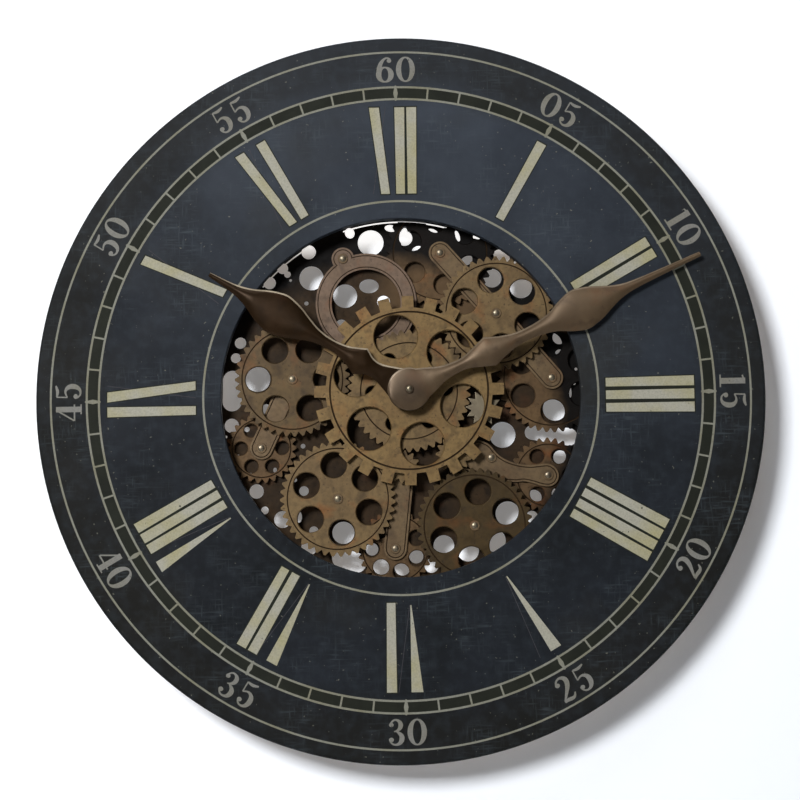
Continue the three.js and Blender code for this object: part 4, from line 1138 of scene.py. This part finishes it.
# back plate with four ears for the spacers, bores for posts and bush, and many windows
plate = {"radius": 155, "ears": (30, 135, 222, 318), "earCircle": 160, "earTip": 7.5, "earRoot": (140, 13),
         "edge": 0.3, "postPlay": 0.1, "spacerBore": 2.6, "pinionBore": 3.3, "bushBore": 4.7, "web": 1}
plateWindows = [
    (-23, 131.5, 10.8), (-73, 102.5, 10.2), (5.5, 135, 6.5), (56.8, 116.5, 5.2), (102, 92, 9.4), (78, 100, 8),
    (133, 49, 5.6), (128, -10.5, 10), (84, -31.5, 10.8), (131.5, -51, 5.8), (109, -84, 6.4), (107, -100, 5),
    (125, -81.5, 4.8), (87, -97, 10.2), (75.5, -119, 9.4), (53.5, -127, 9), (23, -139, 5.8),
    (33.5, -122.5, 8.6), (-18.5, -138.5, 7), (-1, -140, 6.6), (10.5, -131, 5.8), (-26, -124.5, 5.2),
    (-78, -122, 6.6),
    (-99.8, -98.6, 7), (-121, -75, 6), (-114.3, -90.8, 3.2), (-49.5, -110.5, 9.2), (-141, -20, 6),
    (-119, 18.5, 10.6), (-112, -7.5, 5), (-97, 111, 4.6), (-93, 106, 2.8), (-108, 99, 5.2), (-75, 124.5, 6),
    (-45, 87, 10), (-25, 95, 8.2, 6, 0), (-13, 81.5, 5.4), (-48.5, 62.5, 5), (-40.4, 140, 4, 4.6, 20),
    (-6, 143.5, 5.2, 3, -8), (86.5, 118, 7.4, 5.5, -35), (99.5, 111.5, 2.4, 3.4, 40), (68.8, 117.5, 2.2),
    (132.5, 37, 3.2, 2, 20), (144.5, 11.3, 1.6, 2.2, 0), (141, 3, 1.4, 4.6, 0), (-133, 49, 4.8),
    (-137, 36.5, 4.2), (-90.5, 101, 1.2), (-77.5, 81.4, 1.8), (-128.3, -23.3, 2.2), (-82, -38, 2),
    (-125.8, -61.5, 2), (-74, -108.5, 3.8), (-145.9, -29.3, 1.2), (-136.1, -45.3, 1.3),
    (-105.5, -57.5, 1.6, 2.1, 0), (-89, -66.1, 1.7), (-81.7, -75.3, 4), (-86.7, -80.6, 1.2),
    (-86.1, -96.8, 2.5, 4.7, 0), (146.4, 22.4, 1.3),
]
# long windows run from one round end to another
longWindows = [
    [(-140, 18, 8), (-140.5, 0, 8)], [(108.5, -30, 6), (139, -34, 7.4)],
    [(-51, -131.5, 8.2), (-39, -135.5, 8.2)],
]


def buildPlate():
    back, front = depth["plate"]
    obj = rod((0, 0), plate["radius"], back, front, 160)
    rootCircle, rootRadius = plate["earRoot"]
    for angle in plate["ears"]:
        ends = [(polar(plate["earCircle"], angle), plate["earTip"]), (polar(rootCircle, angle), rootRadius)]
        combine(obj, [hullSlab(ends, back, front)], "UNION")
    bores = [(*p, post["foot"] + plate["postPlay"]) for p in [*rivetPlaces.values(), *postPlaces.values()]]
    bores += [(*polar(plate["earCircle"], a), plate["spacerBore"]) for a in plate["ears"]]
    bores += [(*jointPlace["pinion_turn"], plate["pinionBore"]), (*arbor, plate["bushBore"])]
    # a window that would leave less than a web beside a bore isn't cut
    clear = [w for w in plateWindows + topSlits
             if all(math.hypot(w[0] - x, w[1] - z) > max(w[2:4]) + r + plate["web"] for x, z, r in bores)]
    cutWindows(obj, clear + bores, back, front)
    for ends in longWindows:
        combine(obj, [hullSlab([(e[:2], e[2]) for e in ends], back - past, front + past)], "DIFFERENCE")
    for start, stop in rimSlots["arcs"]:
        combine(obj, [rimSlot(start, stop, back, front)], "DIFFERENCE")
    soften(obj, plate["edge"])
    finishPiece(obj, "backPlate", "root", paints["plate"], ["back_plate"])


buildPlate()
print("back plate")

# hands: pressed sheet, domed along the blade and thin at the edges; neck and leaf are given as
# (share of the length, share of the half width), the boss as (back, radius, bore)
hands = {
    "hour_hand": {
        "body": "hour_hand", "layer": "hour", "length": 190, "half": 17.5, "angle": 301,
        "boss": (45, 5.3, 3.1), "paint": "hourHand", "highlightPaint": "hourHighlight", "paintedLight": 1,
        "neck": [(0.105, 0.57), (0.158, 0.4), (0.2, 0.44), (0.243, 0.7)],
        "leaf": [(0.243, 0.7), (0.275, 0.54), (0.316, 0.36), (0.368, 0.265), (0.421, 0.265), (0.474, 0.37),
                 (0.526, 0.58), (0.579, 0.82), (0.632, 0.97), (0.658, 1), (0.684, 0.955), (0.737, 0.77),
                 (0.789, 0.5), (0.842, 0.3), (0.895, 0.19), (1, 0.1)]},
    "minute_hand": {
        "body": "minute_hand", "layer": "minute", "length": 264, "half": 17.5, "angle": 66,
        "boss": (50.75, 4.5, 2.0), "paint": "hand", "highlightPaint": "handHighlight", "paintedLight": -1,
        "neck": [(0.076, 0.58), (0.114, 0.37), (0.152, 0.29), (0.19, 0.29), (0.227, 0.46), (0.277, 0.73)],
        "leaf": [(0.277, 0.73), (0.303, 0.57), (0.341, 0.39), (0.379, 0.29), (0.436, 0.31), (0.492, 0.47),
                 (0.53, 0.74), (0.568, 0.95), (0.587, 1), (0.606, 0.96), (0.644, 0.8), (0.682, 0.55),
                 (0.72, 0.34), (0.758, 0.23), (0.83, 0.17), (1, 0.11)]},
}
handForm = {"hub": 17.6, "neck": 48, "hubRows": 26, "neckRows": 24, "leafRows": 70, "across": 14, "edge": 0.2,
            "hubCrown": 1.75, "crown": 2.8, "swellOver": 25, "fullAt": 9, "rim": 1.4, "rimShare": 0.3,
            "roll": 0.34, "bossIn": 0.1}


def smoothWidth(knots, d):
    # width of the blade at a distance, by a smooth curve through the given places
    for i in range(len(knots) - 1):
        if d <= knots[i + 1][0] or i == len(knots) - 2:
            p0, p1 = knots[max(i - 1, 0)], knots[i]
            p2, p3 = knots[i + 1], knots[min(i + 2, len(knots) - 1)]
            span = p2[0] - p1[0]
            t = (d - p1[0]) / span
            m1 = (p2[1] - p0[1]) / (p2[0] - p0[0]) * span
            m2 = (p3[1] - p1[1]) / (p3[0] - p1[0]) * span
            return ((2 * t ** 3 - 3 * t ** 2 + 1) * p1[1] + (t ** 3 - 2 * t ** 2 + t) * m1
                    + (-2 * t ** 3 + 3 * t ** 2) * p2[1] + (t ** 3 - t ** 2) * m2)


def handRows(spec):
    # (distance from the arbor, half width), from the back of the hub to the tip
    form = handForm
    count, sweep = form["hubRows"], 180 - form["neck"]
    rows = [polar(form["hub"], 180 - sweep * i / count) for i in range(count)]
    scaled = {key: [(a * spec["length"], w * spec["half"]) for a, w in spec[key]] for key in ("neck", "leaf")}
    scaled["neck"].insert(0, polar(form["hub"], form["neck"]))
    for key, knots in scaled.items():
        first, last, count = knots[0][0], knots[-1][0], form[key + "Rows"]
        for i in range(count + (key == "leaf")):
            d = first + (last - first) * i / count
            rows.append((d, smoothWidth(knots, d)))
    return rows


def buildHand(name, spec):
    form, rows = handForm, handRows(spec)
    back = depth[spec["layer"]][0]
    deselect()
    bpy.ops.mesh.primitive_grid_add(x_subdivisions=form["across"], y_subdivisions=len(rows) - 1)
    obj = bpy.context.object
    rimFrom = 1 - 2 / form["across"]
    looks = [paints[spec["paint"]], paints[spec["highlightPaint"]]]
    dress(obj, looks)
    for face in obj.data.polygons:
        # the outermost strip on the side that faces up at rest takes the brighter bronze, a painted highlight
        face.material_index = 1 if face.center.x * spec["paintedLight"] > rimFrom else 0
    turn = math.radians(spec["angle"])
    for vertex in obj.data.vertices:
        across = vertex.co.x
        along, half = rows[round((vertex.co.y + 1) / 2 * (len(rows) - 1))]
        outward = min(1, max(0, (along - form["hub"]) / form["swellOver"]))
        swell = form["hubCrown"] + (form["crown"] - form["hubCrown"]) * outward
        if abs(across) > (1 + rimFrom) / 2:
            x, rise = math.copysign(half, across), form["edge"]
        else:
            inward = across / rimFrom
            x = inward * (half - min(form["rim"], form["rimShare"] * half))
            dome = form["roll"] + (1 - form["roll"]) * (1 - inward ** 2)
            rise = form["edge"] + swell * dome * min(1, math.sqrt(half / form["fullAt"]))
        vertex.co = mm(arbor[0] + x * math.cos(turn) + along * math.sin(turn), -(back + rise),
                       arbor[1] - x * math.sin(turn) + along * math.cos(turn))
    editAll(obj)
    bpy.ops.mesh.extrude_region_move(TRANSFORM_OT_translate={"value": (0, 0, 0)})
    bpy.ops.object.mode_set(mode="OBJECT")
    for vertex in obj.data.vertices:
        if vertex.select:
            vertex.co.y = -mm(back)
    faceOutward(obj)
    bossBack, bossRadius, bore = spec["boss"]
    bossFront = back + form["bossIn"]
    profile = [(bore, bossBack), (bossRadius, bossBack), (bossRadius, bossFront), (bore, bossFront)]
    boss = spun(profile, arbor, 32, ring=True)
    finishPiece(joinAll([obj, boss]), name.replace("_", ""), spec["body"], looks, [name], 50)


for handName, handSpec in hands.items():
    buildHand(handName, handSpec)

capNut = {"flange": 3.6, "side": 0.6, "top": 0.9, "bevel": 0.3, "dome": 2.7, "back": 54.7, "front": 57.3}


def buildCap():
    back, front, flange = capNut["back"], capNut["front"], capNut["flange"]
    top = back + capNut["top"]
    profile = [(0, back), (flange, back), (flange, back + capNut["side"]), (flange - capNut["bevel"], top)]
    profile += [(capNut["dome"] * out, top + (front - top) * up) for out, up in quarterArc(6)]
    cap = spun(profile, arbor, 36)
    looks = [paints["brass"], paints["hand"]]
    baredDome(cap, looks, arbor, capNut["dome"])
    finishPiece(cap, "capNut", "minute_hand", looks, ["cap_nut"])


buildCap()
print("hands and cap nut")

# pieces whose CAD form is right keep it, with softened edges: (body, slot, paint, edge)
dressed = {
    "movement_case": ("root", "black_plastic", "plastic", 0.8),
    "motor_case": ("root", "black_plastic", "plastic", 0.8),
    "hanger_block": ("root", "pine", "wood", 0.7), "keyhole_plate": ("root", "zinc_steel", "zinc", 0.25),
    "motor_pinion": ("motor_pinion", "brass", "brass", 0.2), "bush_nut": ("root", "brass", "brass", 0.3),
}
# the two cases are clamshells: a seam all round, and grip ribs on the back
caseForm = {"seam": (12, 12.5), "seamDeep": 0.4, "seamOver": 4, "ribs": 5, "ribStep": 4, "ribSize": (11, 1.3),
            "ribDeep": 0.7, "ribPlace": {"movement_case": [(-18.5, 6), (18.5, 6)], "motor_case": [(0, -16)]}}


def blockOf(centre, width, height, back, front):
    x, z = centre
    outline = [(x - width / 2, z - height / 2), (x + width / 2, z - height / 2),
               (x + width / 2, z + height / 2), (x - width / 2, z + height / 2)]
    return slabOf(outline, back, front)


def detailCase(obj, node):
    low, high = (corner * 1000 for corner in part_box(node))
    centre = ((low.x + high.x) / 2, (low.z + high.z) / 2)
    width, height = high.x - low.x, high.z - low.z
    back, front = caseForm["seam"]
    seam = blockOf(centre, width + caseForm["seamOver"], height + caseForm["seamOver"], back, front)
    inset = 2 * caseForm["seamDeep"]
    combine(seam, [blockOf(centre, width - inset, height - inset, back - past, front + past)], "DIFFERENCE")
    combine(obj, [seam], "DIFFERENCE")
    ribs = []
    rear = -high.y
    for x, z in caseForm["ribPlace"][node]:
        for k in range(caseForm["ribs"]):
            place = (centre[0] + x, centre[1] + z + k * caseForm["ribStep"])
            ribs.append(blockOf(place, *caseForm["ribSize"], rear - past, rear + caseForm["ribDeep"]))
    combine(obj, ribs, "DIFFERENCE")


def dressCopy(node, body, slot, paint, edge):
    twin = copyOf(frame["nodes"][node])
    twin.parent = None
    for key in list(twin.keys()):
        del twin[key]
    editAll(twin)
    bpy.ops.mesh.remove_doubles(threshold=mergeGap)
    bpy.ops.mesh.dissolve_limited(angle_limit=math.radians(1))
    bpy.ops.object.mode_set(mode="OBJECT")
    soften(twin, edge)
    if node in caseForm["ribPlace"]:
        detailCase(twin, node)
    finishPiece(twin, node.replace("_", ""), body, paints[paint], [node])


for nodeName, look in dressed.items():
    dressCopy(nodeName, *look)

# these can't be seen, so the CAD solid stays and only takes its material
for nodeName in ("bush", "bush_collar", "hour_tube", "minute_arbor", "centre_hub"):
    frame["nodes"][nodeName].data.materials.clear()
    frame["nodes"][nodeName].data.materials.append(paints["brass"])
print("cases, hanger and arbors")

# small turned pieces at the back, each form a profile of (radius, depth)
spacer = {"form": [(0, 20), (2.5, 20), (2.5, 22), (5, 22), (5, 35), (2.5, 35), (2.5, 40), (0, 40)],
          "edge": 0.3, "names": ("right", "upper_left", "lower_left", "lower_right")}
bumper = {"form": [(0, 0), (8.6, 0), (9.6, 0.5), (10, 1.5), (10, 35), (0, 35)], "circle": 224,
          "turns": {"left": 228, "right": 312}}
hangerScrew = {"form": [(0, 0.6), (0.9, 0), (4, 0), (2, 2), (2, 14), (0, 16)], "cross": (0.9, 4.4),
               "crossDeep": 0.9, "places": {"left": (-27, 224), "right": (27, 224)}}
settingKnob = {"form": [(0, 0.8), (5.0, 0.8), (5.5, 1.2), (5.5, 3.2), (2, 3.2), (2, 9.5), (0, 9.5)],
               "notches": 18, "notchCircle": 5.6, "notch": 0.5, "notchEnds": (0, 3.1)}
# the cells lie along X, so their form is (radius, distance from the left end)
cell = {"form": [(0, 0), (4.6, 0), (4.6, 0.15), (6.7, 0.15), (7.1, 0.6), (7.1, 48.7), (6.7, 49.2),
                 (2.8, 49.3), (2.7, 50.4), (0, 50.5)], "bareEnds": (0.3, 49.1)}


def buildTurned():
    for name, angle in zip(spacer["names"], plate["ears"]):
        obj = spun(spacer["form"], polar(plate["earCircle"], angle), 28)
        soften(obj, spacer["edge"])
        node = "spacer_" + name
        finishPiece(obj, node.replace("_", ""), "root", paints["zinc"], [node])
    for side, angle in bumper["turns"].items():
        obj = spun(bumper["form"], polar(bumper["circle"], angle), 48)
        finishPiece(obj, "wallBumper" + side, "root", paints["rubber"], ["wall_bumper_" + side])
    narrow, broad = hangerScrew["cross"]
    for side, place in hangerScrew["places"].items():
        screw = spun(hangerScrew["form"], place, 28)
        cross, bar = (blockOf(place, *size, -past, hangerScrew["crossDeep"])
                      for size in ((narrow, broad), (broad, narrow)))
        combine(cross, [bar], "UNION")
        combine(screw, [cross], "DIFFERENCE")
        node = "hanger_screw_" + side
        finishPiece(screw, "hangerScrew" + side, "root", paints["zinc"], [node])
    place, number = jointPlace["knob_turn"], settingKnob["notches"]
    knob = spun(settingKnob["form"], place, 48)
    notches = [rod(polar(settingKnob["notchCircle"], 360 * k / number, place), settingKnob["notch"],
                   *settingKnob["notchEnds"], 10) for k in range(number)]
    combine(knob, notches, "DIFFERENCE")
    finishPiece(knob, "settingKnob", "setting_knob", paints["plastic"], ["setting_knob"])


def buildCells():
    looks = [paints["cell"], paints["zinc"]]
    first, last = cell["bareEnds"]
    for node in ("movement_cell", "motor_cell"):
        low, high = (corner * 1000 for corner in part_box(node))
        obj = spun(cell["form"], (0, 0), 32)
        for vertex in obj.data.vertices:
            x, y, z = vertex.co * 1000
            vertex.co = mm(low.x - y, (low.y + high.y) / 2 + x, (low.z + high.z) / 2 + z)
        faceOutward(obj)
        finishPiece(obj, node.replace("_", ""), "root", looks, [node])
        for face in obj.data.polygons:
            x = face.center.x * 1000 - low.x
            face.material_index = 1 if x < first or x > last else 0


buildTurned()
buildCells()
print("spacers, bumpers, screws, knob and cells")

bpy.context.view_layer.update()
deselect()
